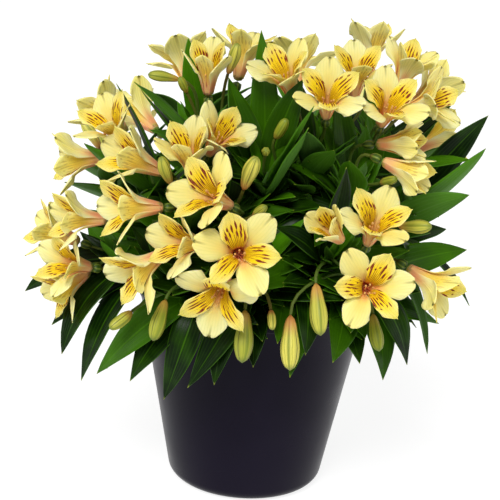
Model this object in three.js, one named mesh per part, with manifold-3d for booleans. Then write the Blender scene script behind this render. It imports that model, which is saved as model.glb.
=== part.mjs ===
// Potted Peruvian lily (Alstroemeria): a compact flowering plant in a plain tapered pot.
// Millimetres, +Z up, the front of the plant towards -Y.
// The origin is the centre of the pot's flat underside.
import * as THREE from "three";
import { mergeVertices } from "three/addons/utils/BufferGeometryUtils.js";
import Module from "manifold-3d";

const wasm = await Module();
wasm.setup();

// Gaps and rules of growth
const GAP = 0.3;
const UP = new THREE.Vector3(0, 0, 1);
const INWARD = new THREE.Vector3(0, 1, -0.33);
const CROWN_CENTRE = new THREE.Vector3(0, 0, 205);
const CROWN_RADII = new THREE.Vector3(172, 165, 158);
const CROWN_FOOT = 104;
const GOLDEN_SHARE = 0.6180339887;

// Pot
const POT_HEIGHT = 154;
const POT_RIM_RADIUS = 88;
const POT_BASE_RADIUS = 58;
const POT_BASE_ROUND = 9;
const POT_WALL = 2.6;
const POT_FLOOR = 3;
const POT_LIP_HEIGHT = 5;
const POT_LIP_OUT = 1.2;
const POT_SIDES = 36;
const DRAIN_HOLES = 6;
const DRAIN_RADIUS = 5;
const DRAIN_CIRCLE = 34;

// Soil
const SOIL_EDGE_HEIGHT = 133;
const SOIL_DOME = 5;
const SOIL_SIDES = 24;
const STEM_SUNK = 15;
const HOLE_DEPTH = 18;
const HOLE_RADIUS = 5.4;

// Leafy stems: five-sided, with short rings of sockets whose sides run out into leaves and stalks
const STEM_RADIUS = 2;
const STEM_SIDES = 5;
const SOCKET = 2.4;
const LEAF_RINGS = 5;
const HEAD_RINGS = [6.4, 2.2];
const TOP_LEAVES = 12;
const STALK_RADIUS = 1.3;
const STALK_ROWS = [0.5, 1];
const POD_LENGTH = 9;
const POD_RADIUS = 3.5;

// Leaves
const LEAF_THICKNESS = 1.1;
const LEAF_ROOT_HALF = 1.3;
const LEAF_ROWS = [0.28, 0.62];
const LEAF_CHANNEL = 0.2;
const MOST_RULED_LEAVES = 12;

// Where a leaf or stalk counts as free of its stem, as a share of the way to its first row
const FREE_FROM = 0.15;
const WHOLE_FROM = 0.004;
const CORNER_CLEAR = 1e-5;

// Tepals, the six petals of a bloom
const CORE_RADIUS = 4.2;
const CORE_HEIGHT = 4;
const FUNNEL = 23;
const TEPAL_THICKNESS = 1.2;
const OUTER_TEPAL = {
  length: 47,
  rows: [0.34, 0.64, 0.87],
  halfWidths: [[0, 1.6], [0.34, 3.1], [0.64, 9], [0.87, 11.6], [1, 5]],
  funnelAngle: 12,
  closedAngle: 10,
  openAngle: 78,
  cup: 0.16,
  notch: 3.2,
};
const INNER_TEPAL = {
  length: 46,
  rows: [0.34, 0.64, 0.85],
  halfWidths: [[0, 1.6], [0.34, 2.3], [0.64, 6.2], [0.84, 6], [1, 0.5]],
  funnelAngle: 4,
  closedAngle: 0,
  openAngle: 66,
  cup: 0.18,
  notch: 0,
};

// Where each leafy stem stands in the soil, where its head is, and its leaves:
// foot x, y; head x, y, z; number of leaves; share of the stem left bare below them
const STEMS = {
  a: { foot: [-14, -14], head: [-38, -38, 276], leaves: 9, bare: 0.58 },
  b: { foot: [-42, -16], head: [-78, -36, 240], leaves: 8, bare: 0.45 },
  c: { foot: [-30, -40], head: [-52, -72, 224], leaves: 7, bare: 0.45 },
  d: { foot: [-14, -40], head: [-26, -80, 236], leaves: 7, bare: 0.5 },
  e: { foot: [-6, -56], head: [-8, -94, 204], leaves: 10, bare: 0.3 },
  f: { foot: [-62, -10], head: [-98, -42, 186], leaves: 11, bare: 0.25 },
  g: { foot: [-34, -60], head: [-44, -100, 192], leaves: 10, bare: 0.25 },
  h: { foot: [16, -18], head: [36, -46, 272], leaves: 9, bare: 0.6 },
  i: { foot: [40, -4], head: [82, -14, 272], leaves: 8, bare: 0.58 },
  j: { foot: [44, -28], head: [66, -58, 256], leaves: 7, bare: 0.5 },
  k: { foot: [24, -50], head: [52, -86, 212], leaves: 9, bare: 0.3 },
  l: { foot: [56, -42], head: [80, -72, 192], leaves: 11, bare: 0.25 },
  m: { foot: [4, -26], head: [4, -78, 268], leaves: 8, bare: 0.5 },
  n: { foot: [-30, 26], head: [-56, 62, 262], leaves: 11, bare: 0.45 },
  o: { foot: [22, 32], head: [34, 84, 258], leaves: 11, bare: 0.45 },
  p: { foot: [54, 18], head: [92, 42, 238], leaves: 10, bare: 0.35 },
  q: { foot: [-58, 18], head: [-104, 30, 226], leaves: 11, bare: 0.3 },
  r: { foot: [66, -14], head: [112, -18, 232], leaves: 12, bare: 0.25 },
  s: { foot: [-8, 56], head: [-18, 100, 208], leaves: 11, bare: 0.2 },
  t: { foot: [40, 50], head: [72, 92, 206], leaves: 11, bare: 0.2 },
};

// Blooms: stem; middle of the mouth; way it faces; turn about its own axis in degrees, or the
// angles of all six tepals; how open it is, from 0 for a bud to 1 for flat; size against full size
const BLOOMS = {
  e1: {
    stem: "e", mouth: [-12, -152, 231], faces: [0.05, -0.93, 0.35], open: 0.95,
    angles: [118, 174, 230, 289, 349, 409],
  },
  j2: {
    stem: "k", mouth: [78, -146, 209], faces: [0.1, -0.93, 0.33], open: 0.9, size: 0.95,
    angles: [60, 131, 189, 243, 305, 359],
  },
  e2: {
    stem: "e", mouth: [-25, -140, 196], faces: [-0.2, -0.9, -0.35], open: 0.85,
    angles: [80, 137, 205, 265, 325, 383],
  },
  j1: { stem: "k", mouth: [80, -118, 245], faces: [0.15, -0.55, 0.82], turn: 0, open: 0.72, size: 0.95 },
  e3: { stem: "e", mouth: [-50, -130, 228], faces: [-0.75, -0.6, 0.2], turn: 0, open: 0.55, size: 0.95 },
  d3: { stem: "d", mouth: [-34, -132, 264], faces: [-0.62, -0.62, 0.48], turn: 30, open: 0.75 },
  d1: { stem: "d", mouth: [-51, -106, 285], faces: [-0.15, -0.4, 0.9], turn: 30, open: 0.4, size: 0.9 },
  d2: { stem: "d", mouth: [-31, -92, 294], faces: [0.4, -0.5, 0.77], turn: 30, open: 0.5, size: 0.85 },
  g1: { stem: "g", mouth: [-80, -126, 206], faces: [-0.72, -0.55, -0.42], turn: 10, open: 0.6 },
  c1: { stem: "c", mouth: [-88, -90, 274], faces: [-0.82, -0.35, 0.45], turn: 0, open: 0.38 },
  c2: { stem: "c", mouth: [-88, -118, 248], faces: [-0.9, -0.42, 0.08], turn: 30, open: 0.62 },
  c3: { stem: "c", mouth: [-128, -78, 225], faces: [-0.9, -0.35, 0.1], turn: 0, open: 0.5, size: 0.9 },
  f2: { stem: "f", mouth: [-134, -84, 192], faces: [-0.7, -0.65, 0.3], turn: 0, open: 0.6, size: 0.88 },
  f3: { stem: "f", mouth: [-138, -56, 166], faces: [-0.75, -0.45, -0.45], turn: 20, open: 0.6, size: 0.9 },
  f1: { stem: "f", mouth: [-150, -36, 200], faces: [-0.9, -0.1, 0.35], turn: 0, open: 0.55, size: 0.88 },
  b1: { stem: "b", mouth: [-108, -70, 292], faces: [-0.5, -0.3, 0.82], turn: 0, open: 0.62, size: 0.92 },
  b2: { stem: "b", mouth: [-133, -40, 258], faces: [-0.95, -0.1, -0.1], turn: 0, open: 0.55, size: 0.92 },
  b3: { stem: "b", mouth: [-116, -14, 288], faces: [-0.7, 0.3, 0.6], turn: 0, open: 0.6, size: 0.92 },
  a1: { stem: "a", mouth: [-42, -60, 334], faces: [-0.05, -0.25, 0.97], turn: 30, open: 0.33, size: 0.85 },
  a2: { stem: "a", mouth: [-18, -22, 340], faces: [0.15, 0.15, 0.97], turn: 0, open: 0.62, size: 0.9 },
  h2: { stem: "h", mouth: [43, -84, 325], faces: [0, -0.58, 0.81], turn: 30, open: 0.72, size: 0.92 },
  h1: { stem: "h", mouth: [13, -70, 336], faces: [-0.32, -0.4, 0.86], turn: 30, open: 0.6, size: 0.9 },
  h4: { stem: "i", mouth: [86, -76, 319], faces: [0.18, -0.6, 0.78], turn: 30, open: 0.68, size: 0.92 },
  h3: { stem: "h", mouth: [64, -46, 334], faces: [0.05, -0.3, 0.94], turn: 30, open: 0.55, size: 0.9 },
  h5: { stem: "h", mouth: [76, 10, 342], faces: [0.05, 0.25, 0.96], turn: 0, open: 0.5, size: 0.9 },
  h7: { stem: "i", mouth: [118, -30, 312], faces: [0.85, -0.3, 0.42], turn: 0, open: 0.6, size: 0.9 },
  h6: { stem: "i", mouth: [102, -8, 332], faces: [0.3, -0.1, 0.95], turn: 20, open: 0.45, size: 0.85 },
  h8: { stem: "i", mouth: [124, 26, 310], faces: [0.7, 0.4, 0.6], turn: 0, open: 0.5, size: 0.9 },
  i1: { stem: "j", mouth: [96, -68, 291], faces: [0.93, -0.25, 0.15], turn: 0, open: 0.2, size: 0.74 },
  i2: { stem: "j", mouth: [100, -90, 278], faces: [0.88, -0.4, -0.22], turn: 20, open: 0.2, size: 0.78 },
  j3: { stem: "k", mouth: [50, -132, 244], faces: [-0.45, -0.6, 0.6], turn: 0, open: 0.2, size: 0.72 },
  j5: { stem: "l", mouth: [126, -92, 196], faces: [0.8, -0.45, -0.35], turn: 0, open: 0.55, size: 0.95 },
  n1: { stem: "n", mouth: [-66, 86, 306], faces: [-0.3, 0.5, 0.8], turn: 0, open: 0.8 },
  n2: { stem: "n", mouth: [-98, 96, 258], faces: [-0.6, 0.7, 0.3], turn: 30, open: 0.7 },
  o1: { stem: "o", mouth: [24, 112, 304], faces: [0, 0.6, 0.8], turn: 0, open: 0.8 },
  o2: { stem: "o", mouth: [62, 132, 262], faces: [0.4, 0.9, 0.2], turn: 60, open: 0.7 },
  p1: { stem: "p", mouth: [134, 62, 262], faces: [0.85, 0.4, 0.35], turn: 0, open: 0.75 },
  s1: { stem: "s", mouth: [-24, 150, 226], faces: [-0.1, 0.93, 0.3], turn: 0, open: 0.85 },
};

// Closed buds: stem; base; way it points; length
const BUDS = [
  { stem: "a", base: [-62, -50, 324], points: [-0.9, -0.2, 0.15], length: 24 },
  { stem: "a", base: [-56, -62, 318], points: [-0.4, -0.4, 0.9], length: 15 },
  { stem: "a", base: [-28, -50, 330], points: [0.25, -0.2, 1], length: 26 },
  { stem: "d", base: [-62, -110, 264], points: [-0.3, -0.4, 0.9], length: 26 },
  { stem: "d", base: [-12, -114, 264], points: [0.25, -0.4, 0.9], length: 32 },
  { stem: "d", base: [-4, -120, 248], points: [0.5, -0.6, 0.6], length: 17 },
  { stem: "g", base: [-62, -118, 182], points: [-0.2, -0.5, -0.7], length: 32 },
  { stem: "g", base: [-86, -108, 168], points: [-0.6, -0.5, -0.4], length: 22 },
  { stem: "e", base: [-6, -124, 180], points: [0, -0.4, -1], length: 38 },
  { stem: "l", base: [26, -118, 176], points: [0.05, -0.4, -1], length: 40 },
  { stem: "k", base: [42, -122, 202], points: [0.15, -0.5, -0.9], length: 38 },
  { stem: "e", base: [12, -122, 180], points: [0.1, -0.6, -0.6], length: 16 },
  { stem: "j", base: [84, -84, 266], points: [0.6, -0.6, 0.4], length: 17 },
  { stem: "l", base: [98, -94, 238], points: [0.8, -0.5, 0.2], length: 28 },
  { stem: "l", base: [84, -112, 178], points: [0.2, -0.5, -0.8], length: 28 },
  { stem: "m", base: [-3, -92, 298], points: [-0.3, -0.4, 0.9], length: 18 },
  { stem: "m", base: [8, -92, 296], points: [0.4, -0.4, 0.9], length: 20 },
  { stem: "m", base: [2, -102, 288], points: [0, -0.9, 0.4], length: 15 },
  { stem: "q", base: [-124, 34, 246], points: [-0.6, 0.2, 0.8], length: 26 },
  { stem: "q", base: [-118, 48, 240], points: [-0.5, 0.6, 0.6], length: 18 },
  { stem: "t", base: [86, 108, 226], points: [0.5, 0.6, 0.6], length: 28 },
  { stem: "t", base: [80, 118, 216], points: [0.2, 0.9, 0.3], length: 20 },
];

// Leaves that show: stem; how far up the stem it grows; tip; width
const SHOWN_LEAVES = [
  { stem: "f", share: 0.8, tip: [-139, -70, 117], width: 26 },
  { stem: "f", share: 0.7, tip: [-123, -82, 102], width: 27 },
  { stem: "g", share: 0.78, tip: [-111, -92, 112], width: 25 },
  { stem: "g", share: 0.7, tip: [-86, -102, 112], width: 26 },
  { stem: "g", share: 0.6, tip: [-61, -110, 112], width: 24 },
  { stem: "e", share: 0.72, tip: [-44, -116, 115], width: 24 },
  { stem: "e", share: 0.6, tip: [-25, -120, 120], width: 24 },
  { stem: "f", share: 0.9, tip: [-172, -30, 150], width: 22 },
  { stem: "f", share: 0.62, tip: [-149, -50, 132], width: 26 },
  { stem: "l", share: 0.74, tip: [97, -87, 118], width: 26 },
  { stem: "l", share: 0.8, tip: [114, -82, 129], width: 24 },
  { stem: "r", share: 0.62, tip: [130, -62, 131], width: 25 },
  { stem: "r", share: 0.72, tip: [159, -50, 166], width: 25 },
  { stem: "l", share: 0.6, tip: [58, -122, 143], width: 24 },
  { stem: "k", share: 0.6, tip: [38, -128, 150], width: 22 },
  { stem: "k", share: 0.5, tip: [18, -130, 158], width: 22 },
  { stem: "e", share: 0.5, tip: [2, -122, 136], width: 22 },
  { stem: "l", share: 0.5, tip: [78, -108, 132], width: 24 },
  { stem: "r", share: 0.98, tip: [165, -12, 300], width: 24 },
  { stem: "r", share: 0.94, tip: [162, -27, 288], width: 24 },
  { stem: "i", share: 0.75, tip: [153, -30, 272], width: 22 },
  { stem: "i", share: 0.9, tip: [140, 14, 303], width: 22 },
  { stem: "r", share: 0.86, tip: [152, -40, 244], width: 24 },
  { stem: "l", share: 0.85, tip: [154, -46, 208], width: 24 },
  { stem: "r", share: 0.76, tip: [158, -8, 226], width: 24 },
  { stem: "m", share: 0.97, tip: [25, -97, 338], width: 22 },
  { stem: "m", share: 0.94, tip: [33, -106, 326], width: 22 },
  { stem: "m", share: 0.9, tip: [30, -118, 312], width: 20 },
  { stem: "h", share: 0.85, tip: [49, -106, 294], width: 20 },
  { stem: "m", share: 0.98, tip: [-6, -62, 366], width: 22 },
  { stem: "a", share: 0.94, tip: [-58, -42, 352], width: 20 },
  { stem: "a", share: 0.9, tip: [-94, -56, 322], width: 22 },
  { stem: "a", share: 0.84, tip: [-88, -70, 326], width: 22 },
  { stem: "b", share: 0.92, tip: [-106, -76, 316], width: 20 },
  { stem: "b", share: 0.86, tip: [-126, -82, 282], width: 20 },
  { stem: "c", share: 0.95, tip: [-152, -60, 226], width: 20 },
  { stem: "k", share: 0.95, tip: [58, -112, 284], width: 22 },
];

const at = (xyz) => new THREE.Vector3(...xyz);
const spread = (k) => (k * GOLDEN_SHARE) % 1;
const mix = THREE.MathUtils.lerp;
const radians = THREE.MathUtils.degToRad;

// A value read off a short list of [place, value] pairs, with straight lines between them.
function along(pairs, place) {
  const after = Math.max(1, pairs.findIndex(([p]) => p >= place));
  const [p0, v0] = pairs[after - 1];
  const [p1, v1] = pairs[after];
  return mix(v0, v1, (place - p0) / (p1 - p0));
}

// A three.js geometry as a manifold-3d solid, without its doubled corners.
function solidOf(geometry) {
  const loose = geometry.index ? geometry.toNonIndexed() : geometry;
  const bare = new THREE.BufferGeometry().setAttribute("position", loose.getAttribute("position"));
  const merged = mergeVertices(bare, 1e-3);
  const corners = [];
  for (let i = 0; i < merged.index.count; i += 3) {
    const [a, b, c] = [0, 1, 2].map((k) => merged.index.getX(i + k));
    if (a !== b && b !== c && c !== a) corners.push(a, b, c);
  }
  return new wasm.Manifold(
    new wasm.Mesh({
      numProp: 3,
      vertProperties: new Float32Array(merged.attributes.position.array),
      triVerts: new Uint32Array(corners),
    }),
  );
}

// A manifold-3d solid as a three.js geometry.
function geometryOf(solid) {
  const made = solid.getMesh();
  const positions = new Float32Array(made.numVert * 3);
  for (let i = 0; i < made.numVert; i++) {
    positions.set(made.vertProperties.subarray(i * made.numProp, i * made.numProp + 3), i * 3);
  }
  const geometry = new THREE.BufferGeometry();
  geometry.setAttribute("position", new THREE.BufferAttribute(positions, 3));
  geometry.setIndex(new THREE.BufferAttribute(new Uint32Array(made.triVerts), 1));
  geometry.computeVertexNormals();
  return geometry;
}

// A geometry from a list of triangles, each of three points.
function facesOf(triangles) {
  const geometry = new THREE.BufferGeometry();
  geometry.setFromPoints(triangles.flat());
  return geometry;
}

// Every solid placed so far, to keep the next one clear of them.
const placed = [];

function boxesMeet(a, b) {
  return [0, 1, 2].every((k) => a.min[k] - GAP <= b.max[k] && b.min[k] - GAP <= a.max[k]);
}

function isClear(solid) {
  const box = solid.boundingBox();
  const near = placed.filter((other) => boxesMeet(box, other.box));
  return near.every((other) => solid.minGap(other.solid, 2 * GAP) >= GAP);
}

function place(solid) {
  placed.push({ solid, box: solid.boundingBox() });
  return solid;
}

// The faces of a blade: rows of four corners (left edge, ridge, right edge, underside),
// cut alike on both faces, and the points of its end from left to right.
function bladeFaces(rows, end) {
  const faces = [];
  rows.slice(1).forEach((next, i) => {
    const row = rows[i];
    faces.push([row.left, row.ridge, next.ridge], [row.left, next.ridge, next.left]);
    faces.push([row.ridge, row.right, next.right], [row.ridge, next.right, next.ridge]);
    faces.push([row.left, next.under, row.under], [row.left, next.left, next.under]);
    faces.push([row.under, next.right, row.right], [row.under, next.under, next.right]);
  });
  if (!end.length) return faces;
  const last = rows.at(-1);
  faces.push([last.left, last.ridge, end[0]], [last.under, last.left, end[0]]);
  end.slice(1).forEach((point, i) => {
    faces.push([last.ridge, point, end[i]], [last.under, end[i], point]);
  });
  faces.push([last.ridge, last.right, end.at(-1)], [last.right, last.under, end.at(-1)]);
  return faces;
}

// One row of a blade: its centre, the way to its right edge, the way its upper face looks.
function bladeRow(centre, side, face, halfWidth, channel, thickness) {
  return {
    left: centre.clone().addScaledVector(side, -halfWidth).addScaledVector(face, channel),
    ridge: centre.clone().addScaledVector(face, thickness / 2),
    right: centre.clone().addScaledVector(side, halfWidth).addScaledVector(face, channel),
    under: centre.clone().addScaledVector(face, -thickness / 2),
  };
}

// A round solid about +Z, from its outline as [radius, height] pairs.
function turned(outline, sides) {
  const geometry = new THREE.LatheGeometry(outline.map(([r, z]) => new THREE.Vector2(r, z)), sides);
  return solidOf(geometry.rotateX(Math.PI / 2));
}

// Inner radius of the pot's wall at a height.
function potInside(z) {
  const taper = (POT_RIM_RADIUS - POT_BASE_RADIUS) / POT_HEIGHT;
  return POT_BASE_RADIUS + taper * z - POT_WALL;
}

function potSolid() {
  const taper = (POT_RIM_RADIUS - POT_BASE_RADIUS) / POT_HEIGHT;
  const outside = (z) => POT_BASE_RADIUS + taper * z;
  const outline = [[0, 0]];
  for (const angle of [0, 45, 90]) {
    const x = POT_BASE_RADIUS - POT_BASE_ROUND + POT_BASE_ROUND * Math.sin(radians(angle));
    const z = POT_BASE_ROUND * (1 - Math.cos(radians(angle)));
    outline.push([x + taper * z, z]);
  }
  const lipFoot = POT_HEIGHT - POT_LIP_HEIGHT;
  outline.push([outside(lipFoot), lipFoot], [outside(lipFoot) + POT_LIP_OUT, lipFoot + 1]);
  outline.push([outside(POT_HEIGHT) + POT_LIP_OUT, POT_HEIGHT], [potInside(POT_HEIGHT), POT_HEIGHT]);
  outline.push([potInside(POT_BASE_ROUND + 2), POT_BASE_ROUND + 2]);
  outline.push([POT_BASE_RADIUS - POT_BASE_ROUND, POT_FLOOR], [0, POT_FLOOR]);
  let pot = turned(outline, POT_SIDES);
  for (let k = 0; k < DRAIN_HOLES; k++) {
    const angle = (k / DRAIN_HOLES) * 2 * Math.PI;
    const hole = new THREE.CylinderGeometry(DRAIN_RADIUS, DRAIN_RADIUS, 4 * POT_FLOOR, 8);
    hole.rotateX(Math.PI / 2);
    hole.translate(DRAIN_CIRCLE * Math.cos(angle), DRAIN_CIRCLE * Math.sin(angle), 0);
    pot = pot.subtract(solidOf(hole));
  }
  return pot;
}

function soilSolid() {
  const fit = (z) => potInside(z) * Math.cos(Math.PI / POT_SIDES) - GAP;
  const bottom = POT_FLOOR + GAP;
  const outline = [
    [0, bottom],
    [POT_BASE_RADIUS - POT_BASE_ROUND - 2, bottom],
    [fit(POT_BASE_ROUND + 3), POT_BASE_ROUND + 3],
    [fit(SOIL_EDGE_HEIGHT), SOIL_EDGE_HEIGHT],
    [0.5 * fit(SOIL_EDGE_HEIGHT), SOIL_EDGE_HEIGHT + 0.8 * SOIL_DOME],
    [0, SOIL_EDGE_HEIGHT + SOIL_DOME],
  ];
  let soil = turned(outline, SOIL_SIDES);
  for (const { foot } of Object.values(STEMS)) {
    const hole = new THREE.CylinderGeometry(HOLE_RADIUS, HOLE_RADIUS, 2 * HOLE_DEPTH, STEM_SIDES);
    hole.rotateX(Math.PI / 2);
    hole.translate(foot[0], foot[1], SOIL_EDGE_HEIGHT + HOLE_DEPTH - STEM_SUNK - 1);
    soil = soil.subtract(solidOf(hole));
  }
  return soil;
}

// Half the width of a tepal or of a leaf at a share of its length.
const tepalHalfWidth = (kind, s) => along(kind.halfWidths, s);
function leafHalfWidth(width, s) {
  return LEAF_ROOT_HALF + (width / 2 - LEAF_ROOT_HALF) * Math.sin(Math.PI * s ** 0.8) ** 0.9;
}

// How far a tepal leans from the bloom's axis, in radians, at a share of its length.
function tepalLean(kind, open, s) {
  const start = Math.min(kind.funnelAngle, kind.closedAngle + 20 * open);
  const end = mix(kind.closedAngle, kind.openAngle, open);
  return radians(mix(start, end, THREE.MathUtils.smoothstep(s, 0.2, 0.75)));
}

// Height along the bloom's axis and distance from it, at a share of a tepal's length.
function tepalPlace(kind, open, size, s) {
  const steps = 24;
  const length = kind.length * size;
  const place = { height: CORE_HEIGHT / 2, out: CORE_RADIUS * 0.8 };
  for (let i = 0; i < steps; i++) {
    const lean = tepalLean(kind, open, (s * (i + 0.5)) / steps);
    place.height += ((length * s) / steps) * Math.cos(lean);
    place.out += ((length * s) / steps) * Math.sin(lean);
  }
  return place;
}

// The faces of one tepal, from its side of the core to its tip.
function tepalFaces(kind, bloom, angle, root) {
  const outward = bloom.across.clone().multiplyScalar(Math.cos(angle));
  outward.addScaledVector(bloom.sideways, Math.sin(angle));
  const side = new THREE.Vector3().crossVectors(outward, bloom.axis);
  const point = (s) => {
    const { height, out } = tepalPlace(kind, bloom.open, bloom.size, s);
    return bloom.base.clone().addScaledVector(bloom.axis, height).addScaledVector(outward, out);
  };
  const face = (s) => {
    const lean = tepalLean(kind, bloom.open, s);
    return bloom.axis.clone().multiplyScalar(Math.sin(lean)).addScaledVector(outward, -Math.cos(lean));
  };
  const rows = kind.rows.map((s) => {
    const halfWidth = tepalHalfWidth(kind, s) * bloom.size;
    return bladeRow(point(s), side, face(s), halfWidth, kind.cup * halfWidth, TEPAL_THICKNESS);
  });
  if (!kind.notch) return bladeFaces([root, ...rows], [point(1)]);
  const lobe = tepalHalfWidth(kind, 1) * bloom.size;
  const tip = point(1);
  const end = [
    tip.clone().addScaledVector(side, -lobe).addScaledVector(face(1), kind.cup * lobe),
    point(1 - kind.notch / kind.length),
    tip.clone().addScaledVector(side, lobe).addScaledVector(face(1), kind.cup * lobe),
  ];
  return bladeFaces([root, ...rows], end);
}

// A bloom's own frame: the axis it faces along and two ways across it.
function bloomFrame(bloom, shift) {
  const axis = at(bloom.faces).normalize();
  const across = new THREE.Vector3().crossVectors(axis, UP).normalize();
  const sideways = new THREE.Vector3().crossVectors(axis, across);
  const size = bloom.size ?? 1;
  const base = at(bloom.mouth).addScaledVector(axis, -FUNNEL * size - shift.back);
  base.addScaledVector(INWARD, shift.deep);
  const even = [0, 60, 120, 180, 240, 300].map((angle) => angle + bloom.turn);
  const angles = (bloom.angles ?? even).map((angle) => angle + shift.turn);
  return { axis, across, sideways, base, size, open: bloom.open * shift.shut, angles };
}

// A whole bloom: a six-sided core whose sides run out into the tepals.
function bloomSolid(frame) {
  const ring = (height) => [0, 1, 2, 3, 4, 5].map((k) => {
    const before = k ? frame.angles[k - 1] : frame.angles[5] - 360;
    const angle = radians((before + frame.angles[k]) / 2);
    const corner = frame.base.clone().addScaledVector(frame.axis, height);
    corner.addScaledVector(frame.across, CORE_RADIUS * Math.cos(angle));
    return corner.addScaledVector(frame.sideways, CORE_RADIUS * Math.sin(angle));
  });
  const low = ring(0);
  const high = ring(CORE_HEIGHT);
  const faces = [];
  for (let k = 0; k < 6; k++) {
    const next = (k + 1) % 6;
    const root = { left: high[next], ridge: high[k], right: low[k], under: low[next] };
    const kind = k % 2 ? INNER_TEPAL : OUTER_TEPAL;
    faces.push(...tepalFaces(kind, frame, radians(frame.angles[k]), root));
  }
  for (let k = 1; k < 5; k++) {
    faces.push([high[0], high[k], high[k + 1]], [low[0], low[k + 1], low[k]]);
  }
  return solidOf(facesOf(faces));
}

// Small changes that a bloom tries in turn until it is clear of its neighbours:
// how deep it sits, how far back on its own axis, its turn, and how open it is.
function bloomShifts() {
  const shifts = [];
  for (const deep of [0, 4, -4, 8, -8, 12, 16, 20]) {
    for (const back of [0, 5]) {
      for (const turn of [0, 15, -15, 30, -30, 45]) {
        for (const shut of [1, 0.88, 0.76]) {
          const effort = Math.abs(deep) / 4 + back / 4 + Math.abs(turn) / 30 + (1 - shut) * 20;
          shifts.push({ deep, back, turn, shut, effort });
        }
      }
    }
  }
  return shifts.sort((a, b) => a.effort - b.effort);
}

const plant = new THREE.Group();
plant.name = "potted_peruvian_lily";

function plastic() {
  return new THREE.MeshStandardMaterial({ color: 0x1f1b28, roughness: 0.35, metalness: 0 });
}

function earth() {
  return new THREE.MeshStandardMaterial({ color: 0x2b1d14, roughness: 0.95, metalness: 0 });
}

function foliage() {
  return new THREE.MeshStandardMaterial({ color: 0x2c5a22, roughness: 0.45, metalness: 0 });
}

function petals() {
  return new THREE.MeshStandardMaterial({ color: 0xf3e28c, roughness: 0.6, metalness: 0 });
}

function addNode(name, solid, material) {
  const mesh = new THREE.Mesh(geometryOf(solid), material);
  mesh.name = name;
  plant.add(mesh);
}

// Settles a bloom in the first place where it is clear of what stands already.
function settleBloom(bloom) {
  const shift = bloomShifts().find((tried) => isClear(bloomSolid(bloomFrame(bloom, tried))));
  if (!shift) throw new Error("a bloom of stem " + bloom.stem + " has no clear place");
  const frame = bloomFrame(bloom, shift);
  const solid = place(bloomSolid(frame));
  return { stem: bloom.stem, frame, solid };
}

// A leafy stem: upright in the soil, leaning out at its head.
function stemOf(key) {
  const { foot, head, leaves, bare } = STEMS[key];
  const low = new THREE.Vector3(foot[0], foot[1], SOIL_EDGE_HEIGHT - STEM_SUNK + 2);
  const high = at(head);
  const rise = high.z - low.z;
  const lean = high.clone().sub(low).setZ(0);
  const curve = new THREE.CubicBezierCurve3(
    low,
    low.clone().addScaledVector(UP, 0.66 * rise),
    high.clone().addScaledVector(lean, -0.5).addScaledVector(UP, -0.3 * rise),
    high,
  );
  const length = curve.getLength();
  const across = new THREE.Vector3().crossVectors(UP, lean).normalize();
  const rings = [0];
  for (let i = 0; i < LEAF_RINGS; i++) {
    rings.push(mix(length * bare, length - TOP_LEAVES, i / (LEAF_RINGS - 1)));
  }
  for (const below of HEAD_RINGS) {
    rings.push(length - below);
  }
  return { key, curve, length, across, rings, leaves, taken: new Map(), grown: [] };
}

// One ring of corners round a stem at a distance up it.
function stemRing(stem, distance) {
  const share = distance / stem.length;
  const centre = stem.curve.getPointAt(share);
  const normal = new THREE.Vector3().crossVectors(stem.across, stem.curve.getTangentAt(share));
  const ring = [];
  for (let k = 0; k < STEM_SIDES; k++) {
    const angle = (k / STEM_SIDES) * 2 * Math.PI;
    const corner = centre.clone().addScaledVector(normal, STEM_RADIUS * Math.cos(angle));
    ring.push(corner.addScaledVector(stem.across, STEM_RADIUS * Math.sin(angle)));
  }
  return ring;
}

// The side of a ring of sockets that a leaf or stalk grows from.
function socketOf(stem, ring, side) {
  const low = stemRing(stem, stem.rings[ring] - SOCKET / 2);
  const high = stemRing(stem, stem.rings[ring] + SOCKET / 2);
  const next = (side + 1) % STEM_SIDES;
  const root = { left: high[next], ridge: high[side], right: low[side], under: low[next] };
  const centre = low[side].clone().add(low[next]).add(high[side]).add(high[next]).multiplyScalar(0.25);
  const axis = stem.curve.getTangentAt(stem.rings[ring] / stem.length);
  const out = centre.clone().sub(stem.curve.getPointAt(stem.rings[ring] / stem.length)).normalize();
  return { ring, side, root, centre, axis, out };
}

// The way a blade's upper face looks at a share of its path, carried along from its root.
function carriedFace(path, start, share) {
  const steps = 24;
  const face = start.clone();
  for (let i = 0; i <= steps; i++) {
    const tangent = path.getTangent((share * i) / steps);
    face.addScaledVector(tangent, -face.dot(tangent)).normalize();
  }
  return face;
}

function rowAt(path, start, share, halfWidth, channel, thickness) {
  const face = carriedFace(path, start, share);
  const side = new THREE.Vector3().crossVectors(path.getTangent(share), face);
  return bladeRow(path.getPoint(share), side, face, halfWidth, channel, thickness);
}

// A leaf from a socket to its tip, as rows and an end.
function leafShape(socket, tip, width) {
  const reach = tip.distanceTo(socket.centre);
  const start = tip.clone().sub(socket.centre).normalize().multiplyScalar(0.6);
  start.addScaledVector(socket.axis, 0.7).addScaledVector(socket.out, 0.35).normalize();
  const bend = socket.centre.clone().addScaledVector(start, 0.5 * reach);
  const path = new THREE.QuadraticBezierCurve3(socket.centre, bend, tip);
  const rows = LEAF_ROWS.map((s) => {
    const halfWidth = leafHalfWidth(width, s);
    return rowAt(path, socket.axis, s, halfWidth, LEAF_CHANNEL * halfWidth, LEAF_THICKNESS);
  });
  return { socket, rows, end: [tip] };
}

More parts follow.
